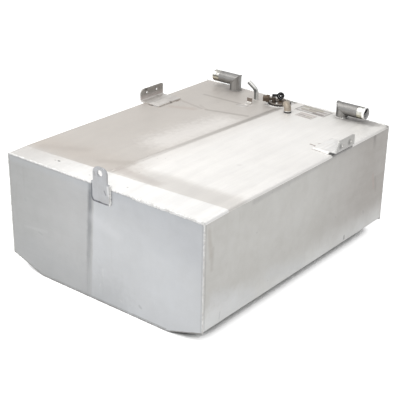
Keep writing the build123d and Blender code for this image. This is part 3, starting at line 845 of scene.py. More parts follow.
def path_mesh(points: Sequence[Sequence[float]], closed: bool = False) -> Mesh:
    """A mesh of edges alone, from point to point.

    Args:
        points: The points.
        closed: Whether the last is joined to the first.

    Returns:
        The mesh.
    """
    mesh = bpy.data.meshes.new("path")
    edges = [(k, k + 1) for k in range(len(points) - 1)]
    if closed:
        edges.append((len(points) - 1, 0))
    mesh.from_pydata([tuple(p) for p in points], edges, [])
    return mesh


def middle(node: str) -> Vector:
    """The middle of a CAD node's box."""
    low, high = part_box(node)
    return (low + high) / 2


# Finishes, with colours as a renderer takes them
PALE = (0.80, 0.80, 0.79)
OXIDE = (0.78, 0.76, 0.73)
BEIGE = (0.63, 0.595, 0.56)
# Painted shade beside the weld beads
SEAM_SHADE = (0.40, 0.40, 0.405)
# A darker patch on the top under the left spout, reaching past its end
SPOUT_PATCH = (0.62, 0.585, 0.55)
NEAR_BLACK = (0.05, 0.05, 0.05)
STAIN = (0.5, 0.46, 0.42)
SPECK = (0.10, 0.095, 0.09)

CREASE_LEAN = (CREASE_REAR[0] - CREASE_FRONT[0]) / (CREASE_REAR[1] - CREASE_FRONT[1])
FRONT_LEAN = (FRONT_CREASE_TOP[0] - FRONT_CREASE_FOOT[0]) / (FRONT_CREASE_TOP[1]
                                                            - FRONT_CREASE_FOOT[1])
LEFTWARD = (-1.0, CREASE_LEAN, 0.0)
RIGHTWARD = (1.0, 0.0, 0.0)
FORWARD = (BREAK_SLOPE, -1.0, 0.0)
BACKWARD = (0.0, 1.0, 0.0)
DOWNWARD = (0.0, 0.0, -1.0)
LEFT_OF_FOLD = (-1.0, 0.0, FRONT_LEAN)
ACROSS_VIEW = (-0.785, -0.62, 0.0)

# The flat faces that marks lie on
TOP = Face(2, TOP_Z * 1000)
FRONT = Face(1, -489)
REAR = Face(1, 489)
SIDE = Face(0, 381)
LUG_FACE = Face(1, -495.4)


def left_of_crease(low: float, high: float, colour: Colour, strength: float = 1.0,
                   uneven: float = 0.012) -> Slope:
    """A change of tone on the top, along its crease.

    Args:
        low: Distance left of the crease at which the change starts.
        high: Distance at which it is complete.
        colour: Colour after the change.
        strength: Share of that colour.
        uneven: How far its edge wanders.

    Returns:
        The change.
    """
    crease = -(CREASE_FRONT[0] - CREASE_LEAN * CREASE_FRONT[1])
    return Slope(LEFTWARD, crease + low, crease + high, colour, strength, uneven)


def before_break(low: float, high: float, colour: Colour, strength: float = 1.0,
                 uneven: float = 0.012) -> Slope:
    """A change of tone on the top, along its break line, given as for the crease."""
    return Slope(FORWARD, low - BREAK_Y, high - BREAK_Y, colour, strength, uneven)


TOP_FINISH = Finish(
    "top_sheet_satin", colour=(0.95, 0.935, 0.915), dull=OXIDE, film=0.12, cloud_scale=7.0,
    metallic=0.55, rough=0.5, rough_spread=0.08, grain=Grain.ALONG_Y, grain_scale=220.0,
    grain_shade=0.02, specks=0.2,
    slopes=(
        # The slopes paint the reflections of the top's folded panels: darker towards the rear,
        # darker left of the crease and beige further left, a darker band behind the break, and a
        # pale front strip before it.
        Slope(BACKWARD, 0.26, 0.52, (0.84, 0.825, 0.795), 0.9, 0.05),
        before_break(-0.105, -0.055, (0.76, 0.735, 0.705), 0.85, 0.02),
        left_of_crease(-0.10, 0.0, (0.84, 0.81, 0.78), 0.7, 0.03),
        left_of_crease(-0.004, 0.004, (0.66, 0.625, 0.59), uneven=0.002),
        left_of_crease(0.05, 0.26, BEIGE, uneven=0.06),
        before_break(-0.001, 0.003, (0.97, 0.965, 0.955), uneven=0.004),
    ),
    marks=(
        *TOP.marks(
            # Painted reflection: a pale patch left of the crease and a darker band on the front
            # strip's left.
            (-80, -110, -50, 150, 110, (0.86, 0.83, 0.80), 0.85, 0),
            (-381, -455, -50, -455, 62, (0.66, 0.64, 0.62), 0.85, 0.5, 0),
            # Painted shade along the crease, then a darker band of painted reflection behind the
            # break.
            (14, 484, -37, -396.5, 16.5, (0.41, 0.385, 0.36), 1, 0.2, 0.3, 0.3),
            (-350, -360, -50, -345, 100, (0.58, 0.525, 0.475), 0.45, 0),
            # Fainter painted shade on the crease's front part.
            (-34, -386.9, -29, -299.3, 10, (0.60, 0.56, 0.52), 0.25),
            (-279, 338, -123, 341, 9, (0.44, 0.41, 0.38), 0.6),
            (-216, 237, -170, 213, 8, (0.50, 0.46, 0.43), 0.4),
            (-170, 213, -28, 252, 11, (0.44, 0.41, 0.38), 0.6),
            (-309, 235, -190, 212, 9, (0.46, 0.42, 0.39), 0.5),
            # A darker patch under the left spout, reaching past its end.
            (-361.4, 470, -268.1, 463.3, 24, SPOUT_PATCH, 0.7, 0),
            (-229, 450, -229, 450, 46, (0.42, 0.39, 0.37), 0.6, 0.4),
            # Painted shadow under the right spout.
            (215, 455, 330, 462, 38, (0.30, 0.285, 0.275), 0.8, 0.15),
            (330, 466, 375, 476, 26, (0.55, 0.53, 0.51), 0.5, 0.1),
            (-19, 432, -19, 432, 56, (0.92, 0.90, 0.88), 0.6, 0.8),
            (-333, -385, -214, -327, 34, (0.52, 0.475, 0.44), 0.4, 0),
            (-118, -361.5, -40, -314.8, 30, (0.50, 0.46, 0.42), 0.4, 0),
            (-26, -372, 120, -378, 32, (0.54, 0.49, 0.46), 0.5, 0.1),
            (100, -345, 330, -350, 60, (0.72, 0.70, 0.68), 0.35, 0.1),
            (3, 480, 15, 487, 13, (0.20, 0.21, 0.19), 0.9, 0.4),
            (375.1, 482.8, 380.5, 478.6, 7, (0.25, 0.24, 0.23), 0.8),
            (-105.5, 330.2, -88.9, 347.6, 20, (0.86, 0.845, 0.82), 0.5, 0.2),
            (-125, 325, -86, 336, 5, (0.36, 0.34, 0.33), 0.6),
            (278.8, 170.4, 305, 166, 5, (0.40, 0.34, 0.32), 0.85),
            (300, 164, 305, 145, 4.5, (0.40, 0.34, 0.32), 0.75),
            (296, 190, 304, 206, 4.5, (0.42, 0.37, 0.34), 0.6),
            (305, 138, 305, 248, 3, (0.52, 0.49, 0.47), 0.6),
            (306, 136.5, 371.6, 133, 3.4, (0.52, 0.49, 0.46), 0.7),
            (-306.6, 123, -306.6, 243, 3.4, (0.50, 0.46, 0.43), 0.3),
            (-374, 122.5, -350, 122.5, 4, (0.40, 0.37, 0.34), 0.6),
            (-348, 122.5, -336, 122.5, 5.5, (0.16, 0.13, 0.115), 0.9),
            (-306.5, 185, -306.5, 190, 5, (0.20, 0.17, 0.15), 0.8),
            (-305, 217, -304, 223, 8, (0.26, 0.21, 0.18), 0.7),
            (-280, 160, -210, 190, 24, (0.52, 0.43, 0.38), 0.4, 0),
            (-213, -439, -209, -439, 4.8, (0.08, 0.07, 0.065), 0.95, 0.25, 1, 0.3),
            (-226, -441, -222, -441, 3.6, (0.42, 0.39, 0.37), 0.7),
            (-70, -455, -66, -455, 3.4, (0.38, 0.37, 0.36), 0.8),
            (72, -450, 75, -450, 3.6, (0.26, 0.25, 0.24), 0.8),
            # Painted shadow under the right bracket's bend, on the top.
            (379, 142, 379, 248, 6, (0.16, 0.16, 0.155), 0.85, 0.5)),
        # Painted shadow under the right bracket's bend, on the wrapper's corner.
        Mark((0.3812, 0.1420, 0.3765), (0.3812, 0.2480, 0.3765), 0.0090, (0.30, 0.295, 0.29), 0.9,
             core=0.5),
        *TOP.marks(
            # Painted shade in front of the right bracket's bend.
            (366, 135.5, 380, 135.5, 4.5, (0.10, 0.10, 0.10), 0.9, 0.25, 1, 0.2),
            (215.1, -113.2, 215.1, -113.2, 12, (0.68, 0.66, 0.64), 0.35, 0)),
    ))
WALL_FINISH = Finish(
    "wrapped_sheet_satin", colour=(0.66, 0.655, 0.635), dull=OXIDE, film=0.35, cloud_scale=6.0,
    metallic=0.8, rough=0.48, grain=Grain.ALONG_Y, grain_scale=200.0, grain_shade=0.025,
    runs=0.3, specks=0.2,
    slopes=(
        # Painted shade darkens it towards the rear, and painted light lightens it near the bottom.
        Slope(BACKWARD, -0.05, 0.42, (0.52, 0.50, 0.48), uneven=0.06),
        Slope(DOWNWARD, -0.15, -0.03, (0.92, 0.93, 0.93), 0.75, 0.05),
    ),
    marks=SIDE.marks(
        (395.9, 367.6, 398.3, 335.8, 12, (0.32, 0.30, 0.29), 0.7, 0.25, 0.3),
        # Painted shadow under the right bracket's bend.
        (142, 379, 248, 379, 7, (0.16, 0.16, 0.155), 0.85, 0.5),
        (407, 230.9, 418.5, 184, 10, (0.52, 0.43, 0.40), 0.5, 0),
        (423.7, 218.4, 434.7, 167.7, 10, (0.36, 0.34, 0.32), 0.4, 0),
        (361, 116.2, 364, 108, 6, (0.40, 0.39, 0.38), 0.4),
        (247.7, 66.3, 247.7, 56, 5, (0.26, 0.25, 0.25), 0.7),
        (-412.3, 78.7, -416, 60, 4, (0.38, 0.38, 0.38), 0.7),
        (-450, 290, -456, 230, 12, (0.50, 0.48, 0.45), 0.45, 0),
        (-209.9, 380.9, -233.8, 379.7, 4, (0.32, 0.31, 0.30), 0.7),
        # Painted shade beside the front seam.
        (-482, 370, -482, 50, 3, SEAM_SHADE, 0.4),
        # Painted light, lighter near the front of the bottom.
        (-436.6, 127.6, -270.8, 71.4, 50, (0.74, 0.75, 0.76), 0.55, 0),
        (-450, 75, -350, 65, 60, (0.80, 0.81, 0.82), 0.6, 0.1),
        (-170, 100, -10.3, 63.8, 40, (0.70, 0.71, 0.72), 0.4, 0),
        (-470, 350, -460, 270, 14, (0.50, 0.47, 0.43), 0.5, 0),
        (-270, 365, 470, 379, 14, (0.44, 0.43, 0.42), 0.45, 0)))
PLATE_FINISH = Finish(
    "end_plate_satin", colour=(0.62, 0.635, 0.655), dull=OXIDE, film=0.22, cloud_scale=6.0,
    metallic=0.8, rough=0.46, grain=Grain.ALONG_X, grain_scale=200.0, grain_shade=0.02,
    runs=0.2,
    slopes=(
        # Painted reflection and shade: darker left of the front fold, darker still further left,
        # and darker towards the top right.
        Slope(LEFT_OF_FOLD, 0.040, 0.046, (0.53, 0.535, 0.54)),
        Slope(LEFT_OF_FOLD, 0.10, 0.36, (0.46, 0.465, 0.465), uneven=0.05),
        Slope((0.35, 0.0, 1.0), 0.28, 0.43, (0.55, 0.565, 0.59), 0.9, 0.04),
    ),
    marks=FRONT.marks(
        # Painted shade along the front fold.
        (-32.5, 378, -57, 12, 14, (0.25, 0.26, 0.275), 0.9, 0.1, 0.12, 0.5),
        # Painted shade lines beside the top and side seams, in the seam-shade colour.
        (-378, 374.5, 378, 374.5, 4, SEAM_SHADE, 0.5),
        (-378, 366, 378, 366, 20, (0.50, 0.52, 0.545), 0.4, 0),
        (374.5, 370, 374.5, 46, 3, SEAM_SHADE, 0.45),
        (-374.5, 370, -374.5, 46, 3.6, SEAM_SHADE, 0.45),
        (-250, 7.5, 250, 7.5, 3, (0.26, 0.26, 0.26), 0.5),
        (-322.6, 150.2, -223.9, 161.1, 7, (0.60, 0.61, 0.61), 0.2),
        (-260, 149, -245, 145, 4, (0.36, 0.37, 0.37), 0.4),
        (-5.7, 53.6, -2, 62, 4, (0.80, 0.80, 0.80), 0.3),
        (-49.4, 151.4, -49.4, 138, 8, (0.36, 0.37, 0.38), 0.45),
        (7.7, 91.8, 7.7, 115, 4, (0.80, 0.80, 0.80), 0.25),
        (74.1, 36, 79, 33, 5, (0.80, 0.80, 0.80), 0.4),
        (150, 45, 156, 40, 6, (0.40, 0.41, 0.42), 0.5),
        (-315, 245, -312, 240, 6, (0.38, 0.39, 0.39), 0.4),
        (-30, 270, 70, 240, 30, (0.70, 0.71, 0.73), 0.35, 0),
        (-320, 60, 40, 25, 130, (0.44, 0.45, 0.46), 0.5, 0)))
REAR_FINISH = replace(
    PLATE_FINISH, name="rear_plate_satin", colour=(0.56, 0.57, 0.585),
    # Painted light: lighter towards the bottom.
    slopes=(Slope(DOWNWARD, -0.20, -0.02, (0.64, 0.65, 0.66), 0.7, 0.05),),
    marks=REAR.marks(
        # Painted shade lines beside the top and side seams, in the seam-shade colour.
        (-378, 374.5, 378, 374.5, 4, SEAM_SHADE, 0.5),
        (374.5, 370, 374.5, 46, 3, SEAM_SHADE, 0.45),
        (-374.5, 370, -374.5, 46, 3.6, SEAM_SHADE, 0.45),
        (-250, 7.5, 250, 7.5, 3, (0.26, 0.26, 0.26), 0.5),
        (-180, 300, 60, 270, 20, (0.66, 0.67, 0.68), 0.3, 0),
        (150, 180, 156, 120, 6, (0.42, 0.43, 0.44), 0.4)))
BAFFLE_FINISH = Finish("baffle_sheet_mill", PALE, OXIDE, 0.4, 8.0, grain=Grain.ALONG_X, rough=0.4)
LUG_FINISH = Finish(
    "lug_plate_satin", (0.53, 0.54, 0.56), OXIDE, 0.4, 30.0, grain=Grain.ALONG_Z, rough=0.42,
    # Painted highlight: the lug's right side face is pale.
    slopes=(Slope(RIGHTWARD, 0.0438, 0.0446, (0.86, 0.86, 0.86), uneven=0.0002),),
    marks=LUG_FACE.marks(
        (-23.2, 379, -23.2, 342, 5, (0.14, 0.15, 0.17), 0.9, 0.5),
        (-23.2, 342, -16, 330.5, 5, (0.14, 0.15, 0.17), 0.9, 0.5),
        (-16, 330, 40, 330, 4.8, (0.14, 0.14, 0.16), 0.85, 0.4),
        (6, 331.5, 10, 331.5, 4, (0.12, 0.12, 0.13), 0.8),
        (27.5, 370, 33, 360, 3.4, (0.20, 0.20, 0.22), 0.7),
        (40, 385, 44, 360, 5, (0.82, 0.82, 0.82), 0.7),
        (-10, 418, -8, 410, 5, (0.34, 0.34, 0.34), 0.5)))
PALE_BRACKET = Finish(
    "bracket_sheet_pale", (0.60, 0.595, 0.58), OXIDE, 0.35, 22.0, grain=Grain.ALONG_Y, rough=0.45,
    # Painted light: below the bend, the base, which faces up, is near white.
    slopes=(Slope(DOWNWARD, -0.3905, -0.3875, (0.98, 0.97, 0.955), uneven=0.0006),),
    marks=(
        # Painted shade along the bend, in its gap at the front, and round the two holes.
        *Face(0, 388).marks((146, 388, 251, 388, 2.4, (0.22, 0.22, 0.22), 0.6)),
        *Face(1, 138).marks((370, 383, 386, 383.5, 7, (0.06, 0.06, 0.06), 0.95, 0.5, 1, 0.2)),
        *Face(0, 388).marks(*((y, 402.5, y, 402.5, 14, (0.16, 0.16, 0.155), 0.6, 0.25, 1, 0.1)
                              for y in (169, 220))),
    ))
# The left bracket's copy of the same sheet, painted darker because its upright faces away from the
# light; its slopes and first mark paint light on the bend and the base.
SHADED_BRACKET = Finish(
    "bracket_sheet_shaded", (0.42, 0.405, 0.385), (0.70, 0.67, 0.65), 0.5, 26.0,
    grain=Grain.ALONG_Y, rough=0.5,
    slopes=(Slope(DOWNWARD, -0.4080, -0.3925, (0.62, 0.575, 0.56), uneven=0.002),
            Slope(DOWNWARD, -0.3925, -0.3875, (0.72, 0.70, 0.675), uneven=0.001)),
    marks=(
        *Face(0, -391).marks((122, 388.5, 244, 388.5, 4, (0.55, 0.53, 0.51), 0.5)),
        *Face(2, 385).marks((-311.5, 187.5, -310.5, 189, 5.5, (0.20, 0.17, 0.15), 0.9, 0.3, 1,
                             0.3)),
        *Face(0, -392).marks((148, 422, 156, 422.5, 6, (0.08, 0.07, 0.065), 0.85)),
    ))


def weld_finish(name: str, colour: Colour, dull: Colour, film: float, cloud_scale: float,
                rough: float = 0.4) -> Finish:
    """The rippled metal of a weld bead, given by what differs from bead to bead."""
    return Finish(name, colour, dull, film, cloud_scale, 0.8, rough, bump=0.0001,
                  grain_scale=500.0)


BRIGHT_WELD = weld_finish("weld_bead_bright", (0.88, 0.88, 0.87), (0.62, 0.61, 0.60), 0.55, 80.0)
SIDE_WELD = weld_finish("weld_bead_spotted", (0.84, 0.84, 0.83), (0.42, 0.40, 0.38), 0.55, 85.0)
SOOTY_WELD = weld_finish("weld_bead_sooty", (0.52, 0.52, 0.53), (0.35, 0.34, 0.33), 0.7, 70.0, 0.45)
# A darker grey copy of the bead: painted shade on the beads under the bilges and at the mitres; it
# also rings the left riser.
NECK_WELD = weld_finish("weld_bead_grey", (0.34, 0.335, 0.325), (0.55, 0.52, 0.50), 0.6, 80.0, 0.42)


@dataclass(frozen=True)
class Filler:
    """One filler neck: where it stands, and how its drawn tube and turned end are toned.

    Attributes:
        name: Which of the two it is.
        side: The way in which its spout points along X, 1 or -1.
        x: Place of its riser along X.
        y: Place of its riser along Y.
        z: Height of its spout's axis.
        corner: Its inner corner, where shade is painted.
        riser_shade: Tone of the riser.
        pipe_shade: Tone of the spout.
        bands: From the top, where each painted reflection band of the turned end starts as a
        share of the radius, and its colour.
        radius: Outside radius of its tube.
        under: Distance from its inner corner down to the painted shade on its spout's underside.
        band_edge: Width of the edge between two bands, as a share of the radius.
        band_way: The way in which the bands follow each other.
        mouth: Place of its open end along X, from the middle of the tank.
        mouth_depth: Depth at which the painted shade inside it starts.
        mouth_lean: How far that painted shade leans towards the top.
    """

    name: str
    side: int
    x: float
    y: float
    z: float
    corner: Point
    riser_shade: float
    pipe_shade: float
    bands: tuple[tuple[float, Colour], ...]
    radius: float = 0.0205
    under: float = 0.0206
    band_edge: float = 0.15
    band_way: Point = (0.0, -0.36, -0.933)
    mouth: float = 0.307
    mouth_depth: float = 0.0085
    mouth_lean: float = 0.6

    def _drawn(self, piece: str, shade: float, dull: Colour, film: float, grain: Grain,
               slope: Slope) -> Finish:
        """The drawn tube of one piece, with painted shade at the neck's inner corner.

        Args:
            piece: Which piece it is.
            shade: Its tone.
            dull: Colour of its film.
            film: Share of the film.
            grain: Direction of its fine marks.
            slope: Where its painted shade lies.

        Returns:
            The finish.
        """
        return Finish(f"{self.name}_filler_{piece}_drawn", (shade, shade * 0.985, shade * 0.965),
                      dull, film, 34.0, grain=grain, rough=0.42, grain_shade=0.07,
                      slopes=(slope,),
                      marks=(Mark(self.corner, self.corner, 0.013, NEAR_BLACK, 0.9, 0.1),))

    def pipe(self) -> Finish:
        """The spout's tube, with painted shade along its underside."""
        low = -self.corner[2] - self.under
        return self._drawn("pipe", self.pipe_shade, (0.55, 0.54, 0.52), 0.4, Grain.ALONG_X,
                           Slope(DOWNWARD, low - 0.004, low + 0.014, (0.12, 0.115, 0.11), 0.85,
                                 0.003))

    def riser(self) -> Finish:
        """The riser's tube, with painted shade along the side that faces left and forward."""
        reach = ACROSS_VIEW[0] * self.x + ACROSS_VIEW[1] * self.y
        return self._drawn("riser", self.riser_shade, (0.70, 0.68, 0.65), 0.45, Grain.ALONG_Z,
                           Slope(ACROSS_VIEW, reach + 0.012, reach + 0.020, (0.13, 0.13, 0.13),
                                 0.75, 0.001))

    def turned(self) -> Finish:
        """The turned hose end, with painted reflection bands, light and dark, and a painted
        highlight on the lip of the right one.
        """
        axis = self.band_way[1] * self.y + self.band_way[2] * self.z
        slopes = [Slope(self.band_way, axis + start * self.radius,
                        axis + (start + self.band_edge) * self.radius, colour, uneven=0.0008)
                  for start, colour in self.bands[1:]]
        rim = Slope(RIGHTWARD, 0.2990, 0.3005, (0.99, 0.99, 0.985), uneven=0.0003)
        return Finish(f"{self.name}_hose_end_bright", self.bands[0][1], (0.80, 0.79, 0.76), 0.25,
                      60.0, rough=0.24, rough_spread=0.08, slopes=(*slopes, rim))

    def bore_skin(self) -> Finish:
        """A pale lining that paints light in the hose end's mouth, with painted shade deeper in and
        towards its top.
        """
        low = self.mouth_lean * self.z - self.mouth + self.mouth_depth
        return Finish(f"{self.name}_hose_end_bore", (0.98, 0.98, 0.975), (0.85, 0.85, 0.85), 0.1,
                      60.0, metallic=0.0, rough=0.5,
                      slopes=(Slope((-self.side, 0.0, self.mouth_lean), low, low + 0.004,
                                    (0.04, 0.04, 0.038), uneven=0.0006),))


# Each filler's bands paint reflections on its turned end.
FILLERS = (
    Filler("left", -1, -0.229, 0.457, 0.419, (-0.2496, 0.457, 0.3984), 0.36, 0.345, (
        (-1.0, (0.55, 0.54, 0.50)), (-0.50, (0.88, 0.87, 0.83)), (-0.05, (0.20, 0.19, 0.16)),
        (0.22, (0.60, 0.57, 0.47)), (0.52, (0.17, 0.145, 0.115)))),
    Filler("right", 1, 0.215, 0.462, 0.4115, (0.2356, 0.462, 0.3909), 0.34, 0.30, (
        (-1.0, (0.24, 0.24, 0.22)), (-0.86, (0.95, 0.95, 0.90)), (-0.18, (0.66, 0.655, 0.60)),
        (0.38, (0.36, 0.35, 0.29)), (0.74, (0.14, 0.13, 0.10)))),
)
TUBE_FINISH = Finish("tube_drawn", (0.66, 0.655, 0.63), (0.70, 0.68, 0.65), 0.4, 60.0,
                     grain=Grain.ALONG_Z, rough=0.34)
VENT_FINISH = Finish(
    "vent_tube_drawn", (0.74, 0.745, 0.73), (0.66, 0.65, 0.63), 0.4, 60.0, grain=Grain.ALONG_Z,
    rough=0.5, metallic=0.4,
    marks=(
        # Painted shade down the tube's left side, and in its open tip.
        Mark((-0.1094, 0.4075, 0.3820), (-0.1094, 0.4075, 0.4150), 0.0088, (0.12, 0.125, 0.12),
             0.9, core=0.45, wander=0.2),
        Mark((-0.1086, 0.4076, 0.4150), (-0.1421, 0.4076, 0.4374), 0.0088, (0.12, 0.125, 0.12),
             0.9, core=0.45, wander=0.2),
        Mark((-0.1410, 0.4080, 0.4440), (-0.1450, 0.4110, 0.4350), 0.0036, (0.16, 0.17, 0.16), 0.8),
    ))
# A brown upright; its foot, which faces up, is painted near white as lit.
TAB_FINISH = Finish("tab_brown_lit_foot", (0.30, 0.255, 0.225), (0.55, 0.50, 0.46), 0.7, 90.0, 0.5, 0.5,
                    slopes=(Slope(DOWNWARD, -0.3885, -0.3865, (0.88, 0.87, 0.85), uneven=0.001),))
FLANGE_FINISH = Finish(
    "flange_bronzed", (0.42, 0.385, 0.35), STAIN, 0.5, 70.0, 0.7, 0.4,
    marks=Face(2, 391).marks(
        # Painted shade and reflection of the black leads darken the flange's middle.
        (-19, 432, -19, 432, 32, (0.19, 0.15, 0.12), 0.9, 0.85, 1, 0.08),
        (-36, 424, -26, 420, 12, (0.04, 0.03, 0.026), 0.9, 0.2)))

# Small fittings: colour, dull film and its share, cloud scale, metallic and roughness
RING_FINISH = Finish("sender_ring_dark", (0.12, 0.10, 0.09), STAIN, 0.6, 80.0, 0.6, 0.45)
PORT_FINISH = Finish("outlet_port_bronzed", (0.11, 0.09, 0.075), STAIN, 0.6, 70.0, 0.7, 0.4)
SCREW_FINISH = Finish("screw_bright", (0.80, 0.79, 0.76), (0.6, 0.58, 0.55), 0.4, 200.0, 0.95, 0.3)
STEEL_FINISH = Finish("steel_bright", (0.70, 0.69, 0.67), (0.7, 0.68, 0.65), 0.3, 60.0, 0.95, 0.3)
BRASS_FINISH = Finish("stud_brass", (0.30, 0.24, 0.15), (0.6, 0.55, 0.48), 0.4, 200.0, 0.95, 0.3)
WASHER_FINISH = Finish("washer_bright", (0.78, 0.77, 0.75), (0.6, 0.58, 0.55), 0.4, 90.0, 0.9, 0.35)
HEX_FINISH = Finish("fitting_dark", (0.135, 0.105, 0.08), (0.6, 0.52, 0.44), 0.7, 110.0, 0.7, 0.38)
GAUZE_FINISH = Finish("strainer_gauze", (0.55, 0.46, 0.28), (0.6, 0.55, 0.5), 0.4, 200.0, 0.95,
                      0.35)
CASTING_FINISH = Finish("elbow_cast", (0.47, 0.42, 0.355), (0.66, 0.60, 0.53), 0.6, 55.0, 0.45,
                        0.5, bump=0.00025, grain_scale=420.0, grain_shade=0.08)
PLASTIC_FINISH = Finish("sensor_plastic", (0.035, 0.035, 0.038), (0.8, 0.8, 0.8), 0.3, 60.0, 0.0,
                        0.42, grain_scale=900.0)
RUBBER_FINISH = Finish("boot_rubber", (0.018, 0.017, 0.017), (0.8, 0.8, 0.8), 0.3, 80.0, 0.0, 0.5,
                       grain_scale=900.0)
LEAD_FINISH = Finish("lead_sleeve", (0.014, 0.014, 0.015), (0.8, 0.8, 0.8), 0.3, 90.0, 0.0, 0.36,
                     grain_scale=900.0)
FOAM_FINISH = Finish("float_foam", (0.055, 0.052, 0.05), (0.7, 0.7, 0.7), 0.5, 120.0, 0.0, 0.75,
                     bump=0.0003, grain_scale=700.0)


def dress_all(shop: Workshop, finishes: Mapping[str, Finish]) -> None:
    """Dresses several CAD nodes.

    Args:
        shop: Where the materials come from.
        finishes: The finish of each node.
    """
    for node, finish in finishes.items():
        dress(node, shop.material(finish))


def link_softened(shop: Workshop, ending: str,
                  rows: Sequence[tuple[str, Finish, str, float]]) -> None:
    """Puts copies with rounded edges in the place of CAD nodes.

    Args:
        shop: Where the materials come from.
        ending: What the copies' names end in.
        rows: Each node, its finish, its material slot and the width of its rounding.
    """
    for node, finish, slot, width in rows:
        link(f"{node}_{ending}", softened(node, width), shop.material(finish), slot, node)


@dataclass
class Shell:
    """The folded wrapper, the top sheet, the end plates and the baffles."""

    shop: Workshop

    def build(self) -> None:
        """Gives each sheet its own finish."""
        dress_all(self.shop, {
            "wrapper": WALL_FINISH, "top_sheet": TOP_FINISH, "front_plate": PLATE_FINISH,
            "rear_plate": REAR_FINISH, "front_baffle": BAFFLE_FINISH,
            "rear_baffle": BAFFLE_FINISH})


@dataclass
class Seams:
    """Every weld bead on the tank's outside."""

    shop: Workshop
    patterns: Patterns
    top_bead: float = 0.0027
    side_bead: float = 0.0025
    foot_bead: float = 0.0019
    cap_bead: float = 0.0036
    mitre_bead: float = 0.0014
    bracket_bead: float = 0.0013
    cap_start: float = 0.130
    pitch: float = 0.0045
    pitch_share: float = 1.25
    wander_share: float = 0.12
    floor_gap: float = 0.0004
    foot_share: float = 1.4
    rear_share: float = 1.3
    ring_lift: float = 0.3
    path_inset: float = 0.0012
    rear_inset: float = 0.0006
    lug_corner: float = 0.006
    lug_step: float = 0.002
    bracket_lift: float = 0.0008
    bracket_run: tuple[float, float] = (0.006, 0.030)
    bracket_outer_run: tuple[float, float] = (0.046, 0.062)
    front_seed: int = 3
    cap_seed: int = 9
    ring_seed: int = 11
    lug_seed: int = 21
    right_bracket_seed: int = 31
    left_bracket_seed: int = 35
    mitre_seed: int = 41
    rear_seed: int = 53
    ring_points: int = 40
    mitre_points: int = 48

    def _lay(self, name: str, points: Sequence[Sequence[float]], seed: int, radius: float,
             finish: Finish, slot: str = "plate_sheet", closed: bool = False,
             uneven: float = 0.3) -> None:
        """Lays one bead along a path, with ripples as long as its width allows.

        Args:
            name: Name of the piece.
            points: The path.
            seed: Seed of its unevenness.
            radius: Radius of the bead.
            finish: Its finish.
            slot: Name of its material slot, which it passes on to link.
            closed: Whether the path ends where it began.
            uneven: How far the ripples differ in size.
        """
        material = self.shop.material(finish)
        mesh = grow(name, path_mesh(points, closed), self.patterns.weld, Bead_Radius=radius,
                    Pitch=min(self.pitch, radius * self.pitch_share), Unevenness=uneven,
                    Wander=radius * self.wander_share, Seed=seed, Material=material)
        link(name, mesh, material, slot)

    def _end_seams(self, end: str, y: float, top: float, seed: int) -> None:
        """Beads round one end plate: broad on top, finer down the sides and under the bilges.

        Args:
            end: Which end it is.
            y: Place of the beads along Y.
            top: Height of the plate's top edge.
            seed: Seed of the first bead.
        """
        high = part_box("wrapper")[1]
        half = high.x - self.path_inset
        foot = self.foot_bead * self.foot_share + self.floor_gap
        flat = high.x - BILGE_WIDTH
        crown = top - self.path_inset
        self._lay(f"{end}_top_seam", [(-half, y, crown), (half, y, crown)], seed, self.top_bead,
                  BRIGHT_WELD)
        for number, (side, x) in enumerate((("left", -half), ("right", half))):
            self._lay(f"{end}_{side}_seam", [(x, y, crown), (x, y, BILGE_HEIGHT)],
                      seed + 1 + number, self.side_bead, SIDE_WELD)
        under = [(-half, y, BILGE_HEIGHT), (-flat, y, foot), (flat, y, foot),
                 (half, y, BILGE_HEIGHT)]
        self._lay(f"{end}_foot_seam", under, seed + 3, self.foot_bead, NECK_WELD)

    def build(self) -> None:
        """Lays the seams round both end plates and under every welded fitting."""
        front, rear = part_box("front_plate")[1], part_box("rear_plate")[1]
        front_y = front.y - SHEET + self.path_inset
        rear_y = rear.y - self.top_bead * self.rear_share - self.rear_inset
        self._end_seams("front", front_y, front.z, self.front_seed)
        self._end_seams("rear", rear_y, rear.z, self.rear_seed)
        cap_z = front.z - self.cap_bead
        self._lay("front_cap_seam", [(self.cap_start, front_y, cap_z),
                                     (front.x - self.cap_bead, front_y, cap_z)],
                  self.cap_seed, self.cap_bead, BRIGHT_WELD)
        self._foot_seams()
        self._mitre_seams()
        self._lug_seam()
        self._bracket_seams()

    def _foot_seams(self) -> None:
        """Rings of bead at the feet of the fillers, the vent and the sender's ring."""
        feet = (("left_riser", 0.0020, NECK_WELD), ("right_riser", 0.0020, SIDE_WELD),
                ("vent_tube", 0.0016, SIDE_WELD), ("sender_ring", 0.0018, BRIGHT_WELD))
        for seed, (node, radius, finish) in enumerate(feet, self.ring_seed):
            low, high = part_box(node)
            reach = (high.y - low.y) / 2
            x = {"right_riser": low.x + reach,
                 "sender_ring": (low.x + high.x) / 2}.get(node, high.x - reach)
            place = axis_frame((x, (low.y + high.y) / 2, low.z + radius * self.ring_lift),
                               (0, 0, 1))
            points = [place @ Vector((reach * cosine, reach * sine, 0))
                      for cosine, sine in around(self.ring_points)]
            self._lay(f"{node}_seam", points, seed, radius, finish, closed=True)

    def _mitre_seams(self) -> None:
        """The bead round each filler's mitred corner, where its riser meets its spout."""
        for seed, filler in enumerate(FILLERS, self.mitre_seed):
            low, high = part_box(f"{filler.name}_riser")
            reach = (high.y - low.y) / 2
            x = low.x + reach if filler.side > 0 else high.x - reach
            y, z = (low.y + high.y) / 2, middle(f"{filler.name}_spout").z
            points = [(x + reach * cosine, y + reach * sine, z - filler.side * reach * cosine)
                      for cosine, sine in around(self.mitre_points)]
            self._lay(f"{filler.name}_mitre_seam", points, seed, self.mitre_bead, NECK_WELD,
                      "filler_pipe", True)

